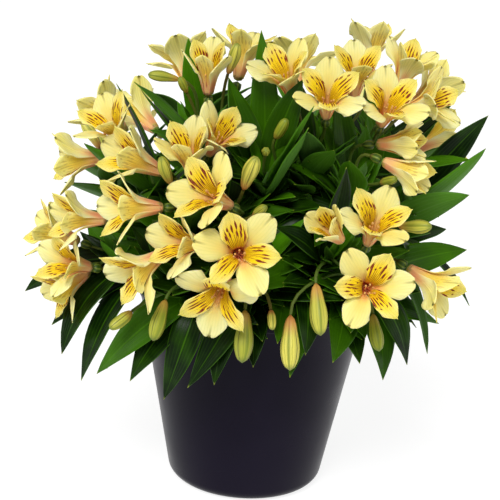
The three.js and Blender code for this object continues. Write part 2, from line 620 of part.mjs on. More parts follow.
// A stalk from a socket to the foot of a pod or bud, which it swells into:
// swells holds [distance past the foot, radius] pairs.
function stalkShape(socket, foot, axis, swells, tip, slack) {
  const reach = foot.distanceTo(socket.centre);
  const start = socket.axis.clone().addScaledVector(socket.out, 0.7).normalize();
  const path = new THREE.CubicBezierCurve3(
    socket.centre,
    socket.centre.clone().addScaledVector(start, slack * reach),
    foot.clone().addScaledVector(axis, -0.38 * reach),
    foot,
  );
  const rows = STALK_ROWS.map((s) => rowAt(path, socket.axis, s, STALK_RADIUS, 0, 2 * STALK_RADIUS));
  const face = carriedFace(path, socket.axis, 1);
  const side = new THREE.Vector3().crossVectors(axis, face);
  for (const [distance, radius] of swells) {
    const centre = foot.clone().addScaledVector(axis, distance);
    rows.push(bladeRow(centre, side, face, radius, 0, 2 * radius));
  }
  return { socket, rows, end: tip ? [foot.clone().addScaledVector(axis, tip)] : [] };
}

const POD_SWELLS = [[0.45 * POD_LENGTH, POD_RADIUS], [POD_LENGTH, POD_RADIUS]];

function budSwells(length) {
  if (length < 24) return [[0.35 * length, 0.2 * length], [0.75 * length, 0.17 * length]];
  return [[3.5, 3], [0.5 * length, 0.18 * length], [0.82 * length, 0.14 * length]];
}

// The faces that close a row off, looking back (-1) or ahead (1).
function closingFaces({ left, ridge, right, under }, way) {
  if (way < 0) return [[left, under, right], [left, right, ridge]];
  return [[left, right, under], [left, ridge, right]];
}

function shapeFaces({ rows, end }, root) {
  const all = [root, ...rows];
  if (end.length) return bladeFaces(all, end);
  return [...bladeFaces(all, []), ...closingFaces(all.at(-1), 1)];
}

// The part of a shape that stands free of its stem, as a solid of its own.
function freeSolid(shape, from) {
  const [first] = shape.rows;
  const start = {};
  for (const corner of ["left", "ridge", "right", "under"]) {
    start[corner] = shape.socket.root[corner].clone().lerp(first[corner], from);
  }
  return solidOf(facesOf([...closingFaces(start, -1), ...shapeFaces(shape, start)]));
}

// A stem's faces, with its leaves and stalks, as one closed surface.
function stemSolid(stem) {
  const rings = [stemRing(stem, 0)];
  const sockets = [null];
  stem.rings.slice(1).forEach((distance, i) => {
    rings.push(stemRing(stem, distance - SOCKET / 2), stemRing(stem, distance + SOCKET / 2));
    sockets.push(i + 1, null);
  });
  rings.push(stemRing(stem, stem.length));
  const faces = [];
  rings.slice(1).forEach((high, i) => {
    const low = rings[i];
    for (let side = 0; side < STEM_SIDES; side++) {
      const next = (side + 1) % STEM_SIDES;
      const shape = sockets[i] && stem.taken.get(sockets[i] + ":" + side);
      if (shape) faces.push(...shapeFaces(shape, shape.socket.root));
      else faces.push([low[side], low[next], high[next]], [low[side], high[next], high[side]]);
    }
  });
  const [first, last] = [rings[0], rings.at(-1)];
  for (let k = 1; k < STEM_SIDES - 1; k++) {
    faces.push([first[0], first[k + 1], first[k]], [last[0], last[k], last[k + 1]]);
  }
  return solidOf(facesOf(faces));
}

// Sockets of some rings that are still free, the best for growing towards a point first.
function freeSockets(stem, rings, aim, least) {
  const free = [];
  for (const ring of rings) {
    for (let side = 0; side < STEM_SIDES; side++) {
      if (!stem.taken.has(ring + ":" + side)) free.push(socketOf(stem, ring, side));
    }
  }
  const aimed = (socket) => aim.clone().sub(socket.centre).normalize().dot(socket.out);
  return free.filter((socket) => aimed(socket) > least).sort((a, b) => aimed(b) - aimed(a));
}

// Whether the line between two points passes through a triangle.
function passesThrough(from, to, triangle) {
  const way = to.clone().sub(from);
  const reach = way.length();
  const ray = new THREE.Ray(from, way.normalize());
  const hit = ray.intersectTriangle(...triangle, false, new THREE.Vector3());
  if (!hit) return false;
  const distance = hit.distanceTo(from);
  return distance > CORNER_CLEAR && distance < reach - CORNER_CLEAR;
}

// Whether a shape is twisted so far that its own faces cross.
function crossesItself(shape) {
  const faces = shapeFaces(shape, shape.socket.root);
  const cuts = (one, other) => [0, 1, 2].some((k) => passesThrough(one[k], one[(k + 1) % 3], other));
  return faces.some((one) => faces.some((other) => one !== other && cuts(one, other)));
}

// Takes the first of some shapes that is clear of everything, if any.
function growFirst(stem, shapes) {
  for (const shape of shapes) {
    const free = freeSolid(shape, FREE_FROM);
    const whole = freeSolid(shape, WHOLE_FROM);
    const crossed = () => stem.grown.some((other) => !whole.intersect(other).isEmpty());
    if (!isClear(free) || crossed() || crossesItself(shape)) continue;
    place(free);
    stem.grown.push(whole);
    stem.taken.set(shape.socket.ring + ":" + shape.socket.side, shape);
    return;
  }
}

// A stalk with its pod or bud, from a free socket of the flower head.
function growStalk(stem, foot, axis, swells, tip) {
  const shapes = [];
  const heads = [LEAF_RINGS + 1, LEAF_RINGS + 2];
  for (const slack of [0.35, 0.2, 0.5, 0.1, 0.65]) {
    for (const socket of freeSockets(stem, heads, foot, -0.4)) {
      shapes.push(stalkShape(socket, foot, axis, swells, tip, slack));
    }
  }
  growFirst(stem, shapes);
}

// A leaf with a chosen tip, which may give way a little.
function growShownLeaf(stem, { share, tip, width }) {
  const misses = (ring) => Math.abs(stem.rings[ring] / stem.length - share);
  const leafRings = Array.from({ length: LEAF_RINGS }, (_, i) => i + 1);
  const rings = leafRings.sort((a, b) => misses(a) - misses(b)).slice(0, 3);
  const shapes = [];
  for (const rise of [0, -6, 6, -12, 12]) {
    for (const deep of [0, -6, 6, 12]) {
      const end = at(tip).add(new THREE.Vector3(0, deep, rise));
      for (const ring of rings) {
        const sockets = freeSockets(stem, [ring], end, 0.1).slice(0, 2);
        shapes.push(...sockets.map((socket) => leafShape(socket, end, width)));
      }
    }
  }
  growFirst(stem, shapes);
}

// The tip of a leaf that grows by rule: it climbs or droops with its place up the stem.
function ruledTip(stem, socket, length, turn, rise) {
  const share = stem.rings[socket.ring] / stem.length;
  const radial = socket.centre.clone().sub(CROWN_CENTRE).setZ(0).normalize();
  const out = socket.out.clone().setZ(0).normalize().applyAxisAngle(UP, radians(turn));
  const inward = Math.max(0, -out.dot(radial));
  const climb = radians(Math.min(75, mix(-45, 45, share) + rise + 30 * inward));
  const tip = socket.centre.clone().addScaledVector(out, length * Math.cos(climb));
  return tip.addScaledVector(UP, length * Math.sin(climb));
}

function inCrown(point) {
  const share = point.clone().sub(CROWN_CENTRE).divide(CROWN_RADII);
  return share.length() < 1 && point.z > CROWN_FOOT;
}

// The free sides of a ring for the next ruled leaf, the most outward first low in the order.
function ruledSides(stem, ring, index) {
  const sides = [0, 1, 2, 3, 4].map((k) => (2 * (index + k)) % STEM_SIDES);
  const free = sides.filter((side) => !stem.taken.has(ring + ":" + side));
  if (index >= 2 * LEAF_RINGS) return free;
  const outwardness = (side) => {
    const { out, centre } = socketOf(stem, ring, side);
    return out.dot(centre.clone().sub(CROWN_CENTRE).setZ(0).normalize());
  };
  return free.sort((a, b) => outwardness(b) - outwardness(a));
}

function growRuledLeaf(stem, index) {
  const ring = LEAF_RINGS - (index % LEAF_RINGS);
  const draw = spread(index + 3.7 * stem.across.x + stem.length);
  const width = mix(19, 25, draw);
  const sides = ruledSides(stem, ring, index);
  const shapes = [];
  for (const scale of [1, 0.85, 0.7]) {
    for (const turn of [0, 25, -25, 50, -50]) {
      for (const rise of [0, 20, -20, 40]) {
        for (const side of sides) {
          const socket = socketOf(stem, ring, side);
          const tip = ruledTip(stem, socket, mix(62, 82, draw) * scale, turn, rise);
          if (inCrown(tip)) shapes.push(leafShape(socket, tip, width * (0.5 + 0.5 * scale)));
        }
      }
    }
  }
  growFirst(stem, shapes);
}

const pot = place(potSolid());
const soil = place(soilSolid());
addNode("pot", pot, plastic());
addNode("soil", soil, earth());

const settled = Object.entries(BLOOMS).map(([name, bloom]) => ({ name, ...settleBloom(bloom) }));
for (const { name, solid } of settled) addNode("bloom_" + name, solid, petals());

const stems = new Map(Object.keys(STEMS).map((key) => [key, stemOf(key)]));
for (const stem of stems.values()) stem.grown.push(place(stemSolid(stem)));
for (const { stem, frame } of settled) {
  const foot = frame.base.clone().addScaledVector(frame.axis, -POD_LENGTH - 1.2 * GAP);
  growStalk(stems.get(stem), foot, frame.axis, POD_SWELLS, 0);
}
for (const { stem, base, points, length } of BUDS) {
  growStalk(stems.get(stem), at(base), at(points).normalize(), budSwells(length), length);
}
for (const leaf of SHOWN_LEAVES) growShownLeaf(stems.get(leaf.stem), leaf);
for (let index = 0; index < MOST_RULED_LEAVES; index++) {
  for (const stem of stems.values()) {
    if (index < stem.leaves) growRuledLeaf(stem, index);
  }
}
for (const stem of stems.values()) addNode("leafy_stem_" + stem.key, stemSolid(stem), foliage());

export default plant;
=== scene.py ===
import itertools
import math
import random
from collections import namedtuple

import bpy
import numpy as np
from mathutils import Matrix, Vector
from mathutils.kdtree import KDTree


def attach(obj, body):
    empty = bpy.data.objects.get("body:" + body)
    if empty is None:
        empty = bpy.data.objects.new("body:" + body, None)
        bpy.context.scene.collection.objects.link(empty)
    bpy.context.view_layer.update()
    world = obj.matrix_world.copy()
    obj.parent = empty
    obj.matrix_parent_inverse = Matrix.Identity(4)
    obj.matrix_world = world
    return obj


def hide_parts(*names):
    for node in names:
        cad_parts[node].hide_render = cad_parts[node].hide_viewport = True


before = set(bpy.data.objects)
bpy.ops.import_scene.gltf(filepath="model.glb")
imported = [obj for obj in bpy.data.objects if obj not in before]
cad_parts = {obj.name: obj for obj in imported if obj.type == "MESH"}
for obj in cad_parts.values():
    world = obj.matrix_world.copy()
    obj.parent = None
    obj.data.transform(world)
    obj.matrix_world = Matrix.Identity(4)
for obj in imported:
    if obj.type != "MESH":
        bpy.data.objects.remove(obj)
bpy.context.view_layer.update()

bl_info = {
    "name": "Potted Peruvian lily",
    "version": (1, 0, 0),
    "blender": (4, 5, 0),
    "location": "View3D > Sidebar > Lily",
    "description": "A compact Peruvian lily in bloom, in a tapered plastic pot",
    "category": "Add Mesh",
}

# Lengths below are in millimetres, as the plant's own drawing has them. A mesh holds metres.
MM = 0.001
GAP = 0.3
UP = np.array([0.0, 0.0, 1.0])
INWARD = np.array([0.0, 1.0, -0.33])
CROWN_CENTRE = np.array([0.0, 0.0, 205.0])
GOLDEN_SHARE = 0.6180339887

# Pot and soil
POT_HEIGHT = 154
POT_RIM_RADIUS = 88
POT_BASE_RADIUS = 58
POT_BASE_ROUND = 9
POT_WALL = 2.6
POT_FLOOR = 3
POT_LIP_HEIGHT = 5
POT_LIP_OUT = 1.2
POT_LIP_STEP = 0.8
POT_OUTER_RIM = 1.1
POT_INNER_RIM = 0.8
POT_FLOOR_RING = 20
DRAIN_HOLES = 6
DRAIN_RADIUS = 5
DRAIN_CIRCLE = 34
SOIL_EDGE_HEIGHT = 133
SOIL_DOME = 5
STEM_SUNK = 15
CRUMB_REACH = 78
CRUMB_RADIUS = (0.8, 2.1)
GRAIN_EVERY = 7

# Leafy stems
STEM_RADIUS = 2
STEM_SIDES = 5
STEM_TAPER = (2.2, 1.8)
SOCKET = 2.4
LEAF_RINGS = 5
HEAD_RINGS = (6.4, 2.2)
TOP_LEAVES = 12
STALK_RADIUS = 1.3
STALK_PROFILE = ((0, 1.5), (0.1, 1.15), (1, 1.2))
POD_LENGTH = 9
POD_SUNK = 0.6
POD_PROFILE = ((-POD_SUNK, 1.1), (0.8, 1.9), (0.45 * POD_LENGTH, 3.4), (POD_LENGTH, 3.3))
POD_RIB_DEPTH = 0.09
BUD_RIB_DEPTH = 0.07
RIBS = 6
LEAF_THICKNESS = 1.1
LEAF_ROOT_HALF = 1.3
LEAF_CHANNEL = 0.2
MOST_RULED_LEAVES = 12
RULED_LENGTH = (62, 82)
RULED_WIDTH = (19, 25)
# Heights between which leaves turn to their brighter green, by where they grow or by their tips: partly
# younger leaves, partly painted light on the upper crown
YOUNG_AND_LIT_ROOTS = (200, 290)
YOUNG_AND_LIT_TIPS = (200, 300)

# Young leaves: the small ones that fill the crown between the drawing's own leaves
YOUNG_LEAVES = 34
YOUNG_LENGTH = (30, 64)
YOUNG_WIDTH = (0.25, 0.34)
YOUNG_CLIMB = (-40, 50)
WHORL_LEAVES = 7
WHORL_LENGTH = (20, 36)
WHORL_BELOW = (3, 14)
YOUNG_TRIES = 12
ROOM_PATIENCE = 60
NOWHERE = np.full((1, 3), 1e6)
YOUNG_CLEAR = 2.2
POT_CLEAR = 2.5
YOUNG_REACH = np.array([160.0, 156.0, 150.0])
YOUNG_LOWEST = 98

# Blooms: the tepal's place and lean are the drawing's, its outline is the finer one shown here
CORE_RADIUS = 4.2
CORE_HEIGHT = 4
FUNNEL = 23
OUTER_TEPAL = {
    "length": 47, "funnel": 12, "closed": 10, "open": 78, "cup": 0.16, "end": 1 - 3.2 / 47,
    "half_widths": ((0, 2.4), (0.2, 3.6), (0.34, 5.0), (0.62, 9.9), (0.8, 12.0), (1, 10.8)),
}
INNER_TEPAL = {
    "length": 46, "funnel": 4, "closed": 0, "open": 66, "cup": 0.2, "end": 1,
    "half_widths": ((0, 2.0), (0.2, 2.7), (0.34, 3.8), (0.6, 6.8), (0.8, 7.6), (1, 6.6)),
}

HEART_SPAN = (-0.25, 6)
HEART_PROFILE = (0, 3.3, 3.7, 3.8, 3.2, 2.0, 0)
STAMENS_SHOW = 0.25
STAMEN_REACH = (17, 25)
FILAMENT_TAPER = (0.5, 0.28)
ANTHER_HALF = 1.7
ANTHER_RADIUS = 0.85

# Buds: share of the length, radius as a share of the length
LONG_BUD_FROM = 24
SHORT_BUD = ((0.12, 0.12), (0.35, 0.185), (0.75, 0.17), (0.93, 0.09), (1, 0.03))
LONG_BUD = ((0.12, 0.09), (0.3, 0.125), (0.6, 0.168), (0.82, 0.135), (0.95, 0.07), (1, 0.03))

# How near a corner of the drawing has to be to count as the same one
SAME_CORNER = 0.05

# What the drawing tried for each bloom, leaf and stalk until it fitted, in its order: millimetres
# deeper, back or up, degrees of turn or rise, and shares of the opening, the length or the slack
BLOOM_DEEPER = (0, 4, -4, 8, -8, 12, 16, 20)
BLOOM_BACK = (0, 5)
BLOOM_TURN = (0, 15, -15, 30, -30, 45)
BLOOM_SHUT = (1, 0.88, 0.76)
SHOWN_RISE = (0, -6, 6, -12, 12)
SHOWN_DEEPER = (0, -6, 6, 12)
RULED_SCALE = (1, 0.85, 0.7)
RULED_TURN = (0, 25, -25, 50, -50)
RULED_RISE = (0, 20, -20, 40)
STALK_SLACK = (0.35, 0.2, 0.5, 0.1, 0.65)

# The plant, as the drawing has it. A stem has its foot in the soil, its head, the number of its leaves
# by rule and the share of it that is bare
StemPlan = namedtuple("StemPlan", "foot head leaves bare")
STEMS = {key: StemPlan(*plan) for key, *plan in (
    ("a", (-14, -14), (-38, -38, 276), 9, 0.58),
    ("b", (-42, -16), (-78, -36, 240), 8, 0.45),
    ("c", (-30, -40), (-52, -72, 224), 7, 0.45),
    ("d", (-14, -40), (-26, -80, 236), 7, 0.5),
    ("e", (-6, -56), (-8, -94, 204), 10, 0.3),
    ("f", (-62, -10), (-98, -42, 186), 11, 0.25),
    ("g", (-34, -60), (-44, -100, 192), 10, 0.25),
    ("h", (16, -18), (36, -46, 272), 9, 0.6),
    ("i", (40, -4), (82, -14, 272), 8, 0.58),
    ("j", (44, -28), (66, -58, 256), 7, 0.5),
    ("k", (24, -50), (52, -86, 212), 9, 0.3),
    ("l", (56, -42), (80, -72, 192), 11, 0.25),
    ("m", (4, -26), (4, -78, 268), 8, 0.5),
    ("n", (-30, 26), (-56, 62, 262), 11, 0.45),
    ("o", (22, 32), (34, 84, 258), 11, 0.45),
    ("p", (54, 18), (92, 42, 238), 10, 0.35),
    ("q", (-58, 18), (-104, 30, 226), 11, 0.3),
    ("r", (66, -14), (112, -18, 232), 12, 0.25),
    ("s", (-8, 56), (-18, 100, 208), 11, 0.2),
    ("t", (40, 50), (72, 92, 206), 11, 0.2),
)}

# The middle of a bloom's mouth, the way it faces, how far it is open, its size, and its turn in degrees:
# one angle, or six where the photo shows each tepal
BloomPlan = namedtuple("BloomPlan", "stem mouth faces opening size turn", defaults=(1, 0))
BLOOMS = {name: BloomPlan(*plan) for name, *plan in (
    ("e1", "e", (-12, -152, 231), (0.05, -0.93, 0.35), 0.95, 1, (118, 174, 230, 289, 349, 409)),
    ("j2", "k", (78, -146, 209), (0.1, -0.93, 0.33), 0.9, 0.95, (60, 131, 189, 243, 305, 359)),
    ("e2", "e", (-25, -140, 196), (-0.2, -0.9, -0.35), 0.85, 1, (80, 137, 205, 265, 325, 383)),
    ("j1", "k", (80, -118, 245), (0.15, -0.55, 0.82), 0.72, 0.95),
    ("e3", "e", (-50, -130, 228), (-0.75, -0.6, 0.2), 0.55, 0.95),
    ("d3", "d", (-34, -132, 264), (-0.62, -0.62, 0.48), 0.75, 1, 30),
    ("d1", "d", (-51, -106, 285), (-0.15, -0.4, 0.9), 0.4, 0.9, 30),
    ("d2", "d", (-31, -92, 294), (0.4, -0.5, 0.77), 0.5, 0.85, 30),
    ("g1", "g", (-80, -126, 206), (-0.72, -0.55, -0.42), 0.6, 1, 10),
    ("c1", "c", (-88, -90, 274), (-0.82, -0.35, 0.45), 0.38),
    ("c2", "c", (-88, -118, 248), (-0.9, -0.42, 0.08), 0.62, 1, 30),
    ("c3", "c", (-128, -78, 225), (-0.9, -0.35, 0.1), 0.5, 0.9),
    ("f2", "f", (-134, -84, 192), (-0.7, -0.65, 0.3), 0.6, 0.88),
    ("f3", "f", (-138, -56, 166), (-0.75, -0.45, -0.45), 0.6, 0.9, 20),
    ("f1", "f", (-150, -36, 200), (-0.9, -0.1, 0.35), 0.55, 0.88),
    ("b1", "b", (-108, -70, 292), (-0.5, -0.3, 0.82), 0.62, 0.92),
    ("b2", "b", (-133, -40, 258), (-0.95, -0.1, -0.1), 0.55, 0.92),
    ("b3", "b", (-116, -14, 288), (-0.7, 0.3, 0.6), 0.6, 0.92),
    ("a1", "a", (-42, -60, 334), (-0.05, -0.25, 0.97), 0.33, 0.85, 30),
    ("a2", "a", (-18, -22, 340), (0.15, 0.15, 0.97), 0.62, 0.9),
    ("h2", "h", (43, -84, 325), (0, -0.58, 0.81), 0.72, 0.92, 30),
    ("h1", "h", (13, -70, 336), (-0.32, -0.4, 0.86), 0.6, 0.9, 30),
    ("h4", "i", (86, -76, 319), (0.18, -0.6, 0.78), 0.68, 0.92, 30),
    ("h3", "h", (64, -46, 334), (0.05, -0.3, 0.94), 0.55, 0.9, 30),
    ("h5", "h", (76, 10, 342), (0.05, 0.25, 0.96), 0.5, 0.9),
    ("h7", "i", (118, -30, 312), (0.85, -0.3, 0.42), 0.6, 0.9),
    ("h6", "i", (102, -8, 332), (0.3, -0.1, 0.95), 0.45, 0.85, 20),
    ("h8", "i", (124, 26, 310), (0.7, 0.4, 0.6), 0.5, 0.9),
    ("i1", "j", (96, -68, 291), (0.93, -0.25, 0.15), 0.2, 0.74),
    ("i2", "j", (100, -90, 278), (0.88, -0.4, -0.22), 0.2, 0.78, 20),
    ("j3", "k", (50, -132, 244), (-0.45, -0.6, 0.6), 0.2, 0.72),
    ("j5", "l", (126, -92, 196), (0.8, -0.45, -0.35), 0.55, 0.95),
    ("n1", "n", (-66, 86, 306), (-0.3, 0.5, 0.8), 0.8),
    ("n2", "n", (-98, 96, 258), (-0.6, 0.7, 0.3), 0.7, 1, 30),
    ("o1", "o", (24, 112, 304), (0, 0.6, 0.8), 0.8),
    ("o2", "o", (62, 132, 262), (0.4, 0.9, 0.2), 0.7, 1, 60),
    ("p1", "p", (134, 62, 262), (0.85, 0.4, 0.35), 0.75),
    ("s1", "s", (-24, 150, 226), (-0.1, 0.93, 0.3), 0.85),
)}

# A closed bud's base, the way it points, and its length
BudPlan = namedtuple("BudPlan", "stem base points length")
BUDS = [BudPlan(*plan) for plan in (
    ("a", (-62, -50, 324), (-0.9, -0.2, 0.15), 24),
    ("a", (-56, -62, 318), (-0.4, -0.4, 0.9), 15),
    ("a", (-28, -50, 330), (0.25, -0.2, 1), 26),
    ("d", (-62, -110, 264), (-0.3, -0.4, 0.9), 26),
    ("d", (-12, -114, 264), (0.25, -0.4, 0.9), 32),
    ("d", (-4, -120, 248), (0.5, -0.6, 0.6), 17),
    ("g", (-62, -118, 182), (-0.2, -0.5, -0.7), 32),
    ("g", (-86, -108, 168), (-0.6, -0.5, -0.4), 22),
    ("e", (-6, -124, 180), (0, -0.4, -1), 38),
    ("l", (26, -118, 176), (0.05, -0.4, -1), 40),
    ("k", (42, -122, 202), (0.15, -0.5, -0.9), 38),
    ("e", (12, -122, 180), (0.1, -0.6, -0.6), 16),
    ("j", (84, -84, 266), (0.6, -0.6, 0.4), 17),
    ("l", (98, -94, 238), (0.8, -0.5, 0.2), 28),
    ("l", (84, -112, 178), (0.2, -0.5, -0.8), 28),
    ("m", (-3, -92, 298), (-0.3, -0.4, 0.9), 18),
    ("m", (8, -92, 296), (0.4, -0.4, 0.9), 20),
    ("m", (2, -102, 288), (0, -0.9, 0.4), 15),
    ("q", (-124, 34, 246), (-0.6, 0.2, 0.8), 26),
    ("q", (-118, 48, 240), (-0.5, 0.6, 0.6), 18),
    ("t", (86, 108, 226), (0.5, 0.6, 0.6), 28),
    ("t", (80, 118, 216), (0.2, 0.9, 0.3), 20),
)]

# The leaves that show clearly in the photo
LeafPlan = namedtuple("LeafPlan", "stem tip width")
SHOWN_LEAVES = [LeafPlan(*plan) for plan in (
    ("f", (-139, -70, 117), 26),
    ("f", (-123, -82, 102), 27),
    ("g", (-111, -92, 112), 25),
    ("g", (-86, -102, 112), 26),
    ("g", (-61, -110, 112), 24),
    ("e", (-44, -116, 115), 24),
    ("e", (-25, -120, 120), 24),
    ("f", (-172, -30, 150), 22),
    ("f", (-149, -50, 132), 26),
    ("l", (97, -87, 118), 26),
    ("l", (114, -82, 129), 24),
    ("r", (130, -62, 131), 25),
    ("r", (159, -50, 166), 25),
    ("l", (58, -122, 143), 24),
    ("k", (38, -128, 150), 22),
    ("k", (18, -130, 158), 22),
    ("e", (2, -122, 136), 22),
    ("l", (78, -108, 132), 24),
    ("r", (165, -12, 300), 24),
    ("r", (162, -27, 288), 24),
    ("i", (153, -30, 272), 22),
    ("i", (140, 14, 303), 22),
    ("r", (152, -40, 244), 24),
    ("l", (154, -46, 208), 24),
    ("r", (158, -8, 226), 24),
    ("m", (25, -97, 338), 22),
    ("m", (33, -106, 326), 22),
    ("m", (30, -118, 312), 20),
    ("h", (49, -106, 294), 20),
    ("m", (-6, -62, 366), 22),
    ("a", (-58, -42, 352), 20),
    ("a", (-94, -56, 322), 22),
    ("a", (-88, -70, 326), 22),
    ("b", (-106, -76, 316), 20),
    ("b", (-126, -82, 282), 20),
    ("c", (-152, -60, 226), 20),
    ("k", (58, -112, 284), 22),
)]


def mix(a, b, share):
    return a + (b - a) * share


def unit(vector):
    return vector / np.linalg.norm(vector, axis=-1, keepdims=True)


def smooth(value, low, high):
    share = np.clip((value - low) / (high - low), 0, 1)
    return share * share * (3 - 2 * share)


def eased(pairs, places):
    """A smooth line through [place, value] pairs that never swings past them."""
    x, y = np.array(pairs, float).T
    steps = np.diff(y) / np.diff(x)
    slopes = np.concatenate([steps[:1], (steps[:-1] + steps[1:]) / 2, steps[-1:]])
    slopes[1:-1][steps[:-1] * steps[1:] <= 0] = 0
    places = np.asarray(places, float)
    i = np.clip(np.searchsorted(x, places) - 1, 0, len(steps) - 1)
    width = x[i + 1] - x[i]
    t = np.clip((places - x[i]) / width, 0, 1)
    start = y[i] * (1 + 2 * t) * (1 - t) ** 2 + slopes[i] * width * t * (1 - t) ** 2
    return start + y[i + 1] * t * t * (3 - 2 * t) + slopes[i + 1] * width * t * t * (t - 1)


def spread(number):
    """A value from 0 to 1 that whole steps of the number spread evenly."""
    return (number * GOLDEN_SHARE) % 1


def pot_outside(height):
    """The radius of the pot's outside at a height."""
    return mix(POT_BASE_RADIUS, POT_RIM_RADIUS, height / POT_HEIGHT)


class Path:
    """A Bezier path through space, and the way a blade's upper face looks along it."""

    def __init__(self, *controls):
        self.controls = np.array(controls, float)

    def _blend(self, controls, t):
        t = np.atleast_1d(np.asarray(t, float))[:, None]
        order = len(controls) - 1
        terms = (math.comb(order, i) * t**i * (1 - t) ** (order - i) * c for i, c in enumerate(controls))
        return sum(terms)

    def points(self, t):
        return self._blend(self.controls, t)

    def tangents(self, t):
        return unit(self._blend(np.diff(self.controls, axis=0), t))

    def point(self, t):
        return self.points(t)[0]

    def tangent(self, t):
        return self.tangents(t)[0]

    def face(self, start, share, steps=24):
        face = start.copy()
        for tangent in self.tangents(np.linspace(0, share, steps + 1)):
            face = unit(face - tangent * face.dot(tangent))
        return face

    def faces(self, start, shares):
        """The carried faces at several shares, in rising order."""
        found = []
        face = start.copy()
        for tangent in self.tangents(shares):
            face = unit(face - tangent * face.dot(tangent))
            found.append(face)
        return np.array(found)


class Corners:
    """The corners of one node of the drawing, to find which of its choices was built."""

    def __init__(self, name):
        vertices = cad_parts[name].data.vertices
        self.tree = KDTree(len(vertices))
        for i, vertex in enumerate(vertices):
            self.tree.insert(vertex.co / MM, i)
        self.tree.balance()

    def hold(self, *points):
        return all(self.tree.find(Vector(point))[2] < SAME_CORNER for point in points)


class BloomPlace:
    """Where one bloom stands: its axis, its base, and its tepals' angles and opening."""

    def __init__(self, bloom, deep, back, turn, shut):
        self.axis = unit(np.array(bloom.faces, float))
        self.across = unit(np.cross(self.axis, UP))
        self.sideways = np.cross(self.axis, self.across)
        self.size = bloom.size
        self.base = np.array(bloom.mouth, float) - self.axis * (FUNNEL * self.size + back)
        self.base = self.base + INWARD * deep
        own = bloom.turn if isinstance(bloom.turn, tuple) else [60 * k + bloom.turn for k in range(6)]
        self.angles = [math.radians(angle + turn) for angle in own]
        self.open = bloom.opening * shut

    def lean(self, kind, s):
        start = min(kind["funnel"], kind["closed"] + 20 * self.open)
        end = mix(kind["closed"], kind["open"], self.open)
        return np.radians(mix(start, end, smooth(s, 0.2, 0.75)))

    def midline(self, kind, shares, steps=24):
        """Height along the axis and distance from it, at shares of a tepal's length."""
        length = kind["length"] * self.size
        shares = np.asarray(shares, float)
        inner = shares[..., None] * (np.arange(steps) + 0.5) / steps
        lean = self.lean(kind, inner)
        height = CORE_HEIGHT / 2 + length * shares / steps * np.cos(lean).sum(-1)
        out = 0.8 * CORE_RADIUS + length * shares / steps * np.sin(lean).sum(-1)
        return height, out

    def outward(self, k):
        return self.across * math.cos(self.angles[k]) + self.sideways * math.sin(self.angles[k])

    def tip(self, k):
        kind = INNER_TEPAL if k % 2 else OUTER_TEPAL
        height, out = self.midline(kind, np.array(kind["end"]))
        return self.base + self.axis * height + self.outward(k) * out


def bloom_place(name):
    """The place that this bloom took in the drawing, out of those that it may take."""
    corners = Corners("bloom_" + name)
    for choice in itertools.product(BLOOM_DEEPER, BLOOM_BACK, BLOOM_TURN, BLOOM_SHUT):
        place = BloomPlace(BLOOMS[name], *choice)
        if corners.hold(place.tip(0), place.tip(1), place.tip(3)):
            return place
    raise RuntimeError("bloom " + name + " isn't where the drawing may have it")


class Stem:
    """A leafy stem's path, and the sockets that leaves and stalks grow from."""

    def __init__(self, key):
        plan = STEMS[key]
        self.key = key
        self.leaves = plan.leaves
        low = np.array([*plan.foot, SOIL_EDGE_HEIGHT - STEM_SUNK + 2], float)
        high = np.array(plan.head, float)
        rise = high[2] - low[2]
        lean = (high - low) * (1, 1, 0)
        self.path = Path(low, low + UP * 0.66 * rise, high - 0.5 * lean - UP * 0.3 * rise, high)
        self.times = np.linspace(0, 1, 201)
        steps = np.linalg.norm(np.diff(self.path.points(self.times), axis=0), axis=1)
        self.lengths = np.concatenate([[0], np.cumsum(steps)])
        self.length = self.lengths[-1]
        self.across = unit(np.cross(UP, lean))
        bare = self.length * plan.bare
        top = self.length - TOP_LEAVES
        self.rings = [0] + [mix(bare, top, i / (LEAF_RINGS - 1)) for i in range(LEAF_RINGS)]
        self.rings += [self.length - below for below in HEAD_RINGS]
        self.corners = Corners("leafy_stem_" + key)
        sides = range(STEM_SIDES)
        self.sockets = [Socket(self, ring, side) for ring in range(1, LEAF_RINGS + 1) for side in sides]
        heads = range(LEAF_RINGS + 1, LEAF_RINGS + 3)
        self.head_sockets = [Socket(self, ring, side) for ring in heads for side in sides]

    def time(self, distance):
        return np.interp(distance, self.lengths, self.times)

    def corner(self, distance, side):
        t = self.time(distance)
        angle = side / STEM_SIDES * 2 * math.pi
        normal = np.cross(self.across, self.path.tangent(t))
        return self.path.point(t) + STEM_RADIUS * (normal * math.cos(angle) + self.across * math.sin(angle))


class Perch:
    """A place on a stem's side that a leaf or stalk grows from."""

    def __init__(self, stem, distance, angle):
        t = stem.time(distance)
        self.axis = stem.path.tangent(t)
        normal = np.cross(stem.across, self.axis)
        self.out = normal * math.cos(angle) + stem.across * math.sin(angle)
        self.centre = stem.path.point(t) + 0.8 * STEM_RADIUS * self.out

    def leaf_path(self, tip):
        way = unit(unit(tip - self.centre) * 0.6 + self.axis * 0.7 + self.out * 0.35)
        reach = np.linalg.norm(tip - self.centre)
        return Path(self.centre, self.centre + way * 0.5 * reach, tip)

    def stalk_path(self, foot, axis, slack):
        way = unit(self.axis + self.out * 0.7)
        reach = np.linalg.norm(foot - self.centre)
        return Path(self.centre, self.centre + way * slack * reach, foot - axis * 0.38 * reach, foot)


class Socket(Perch):
    """The side of a ring, where the drawing's own leaves and stalks grow."""

    def __init__(self, stem, ring, side):
        super().__init__(stem, stem.rings[ring], 0)
        self.ring = ring
        ends = (stem.rings[ring] - SOCKET / 2, stem.rings[ring] + SOCKET / 2)
        sides = (side, (side + 1) % STEM_SIDES)
        self.centre = sum(stem.corner(end, one) for end in ends for one in sides) / 4
        self.out = unit(self.centre - stem.path.point(stem.time(stem.rings[ring])))


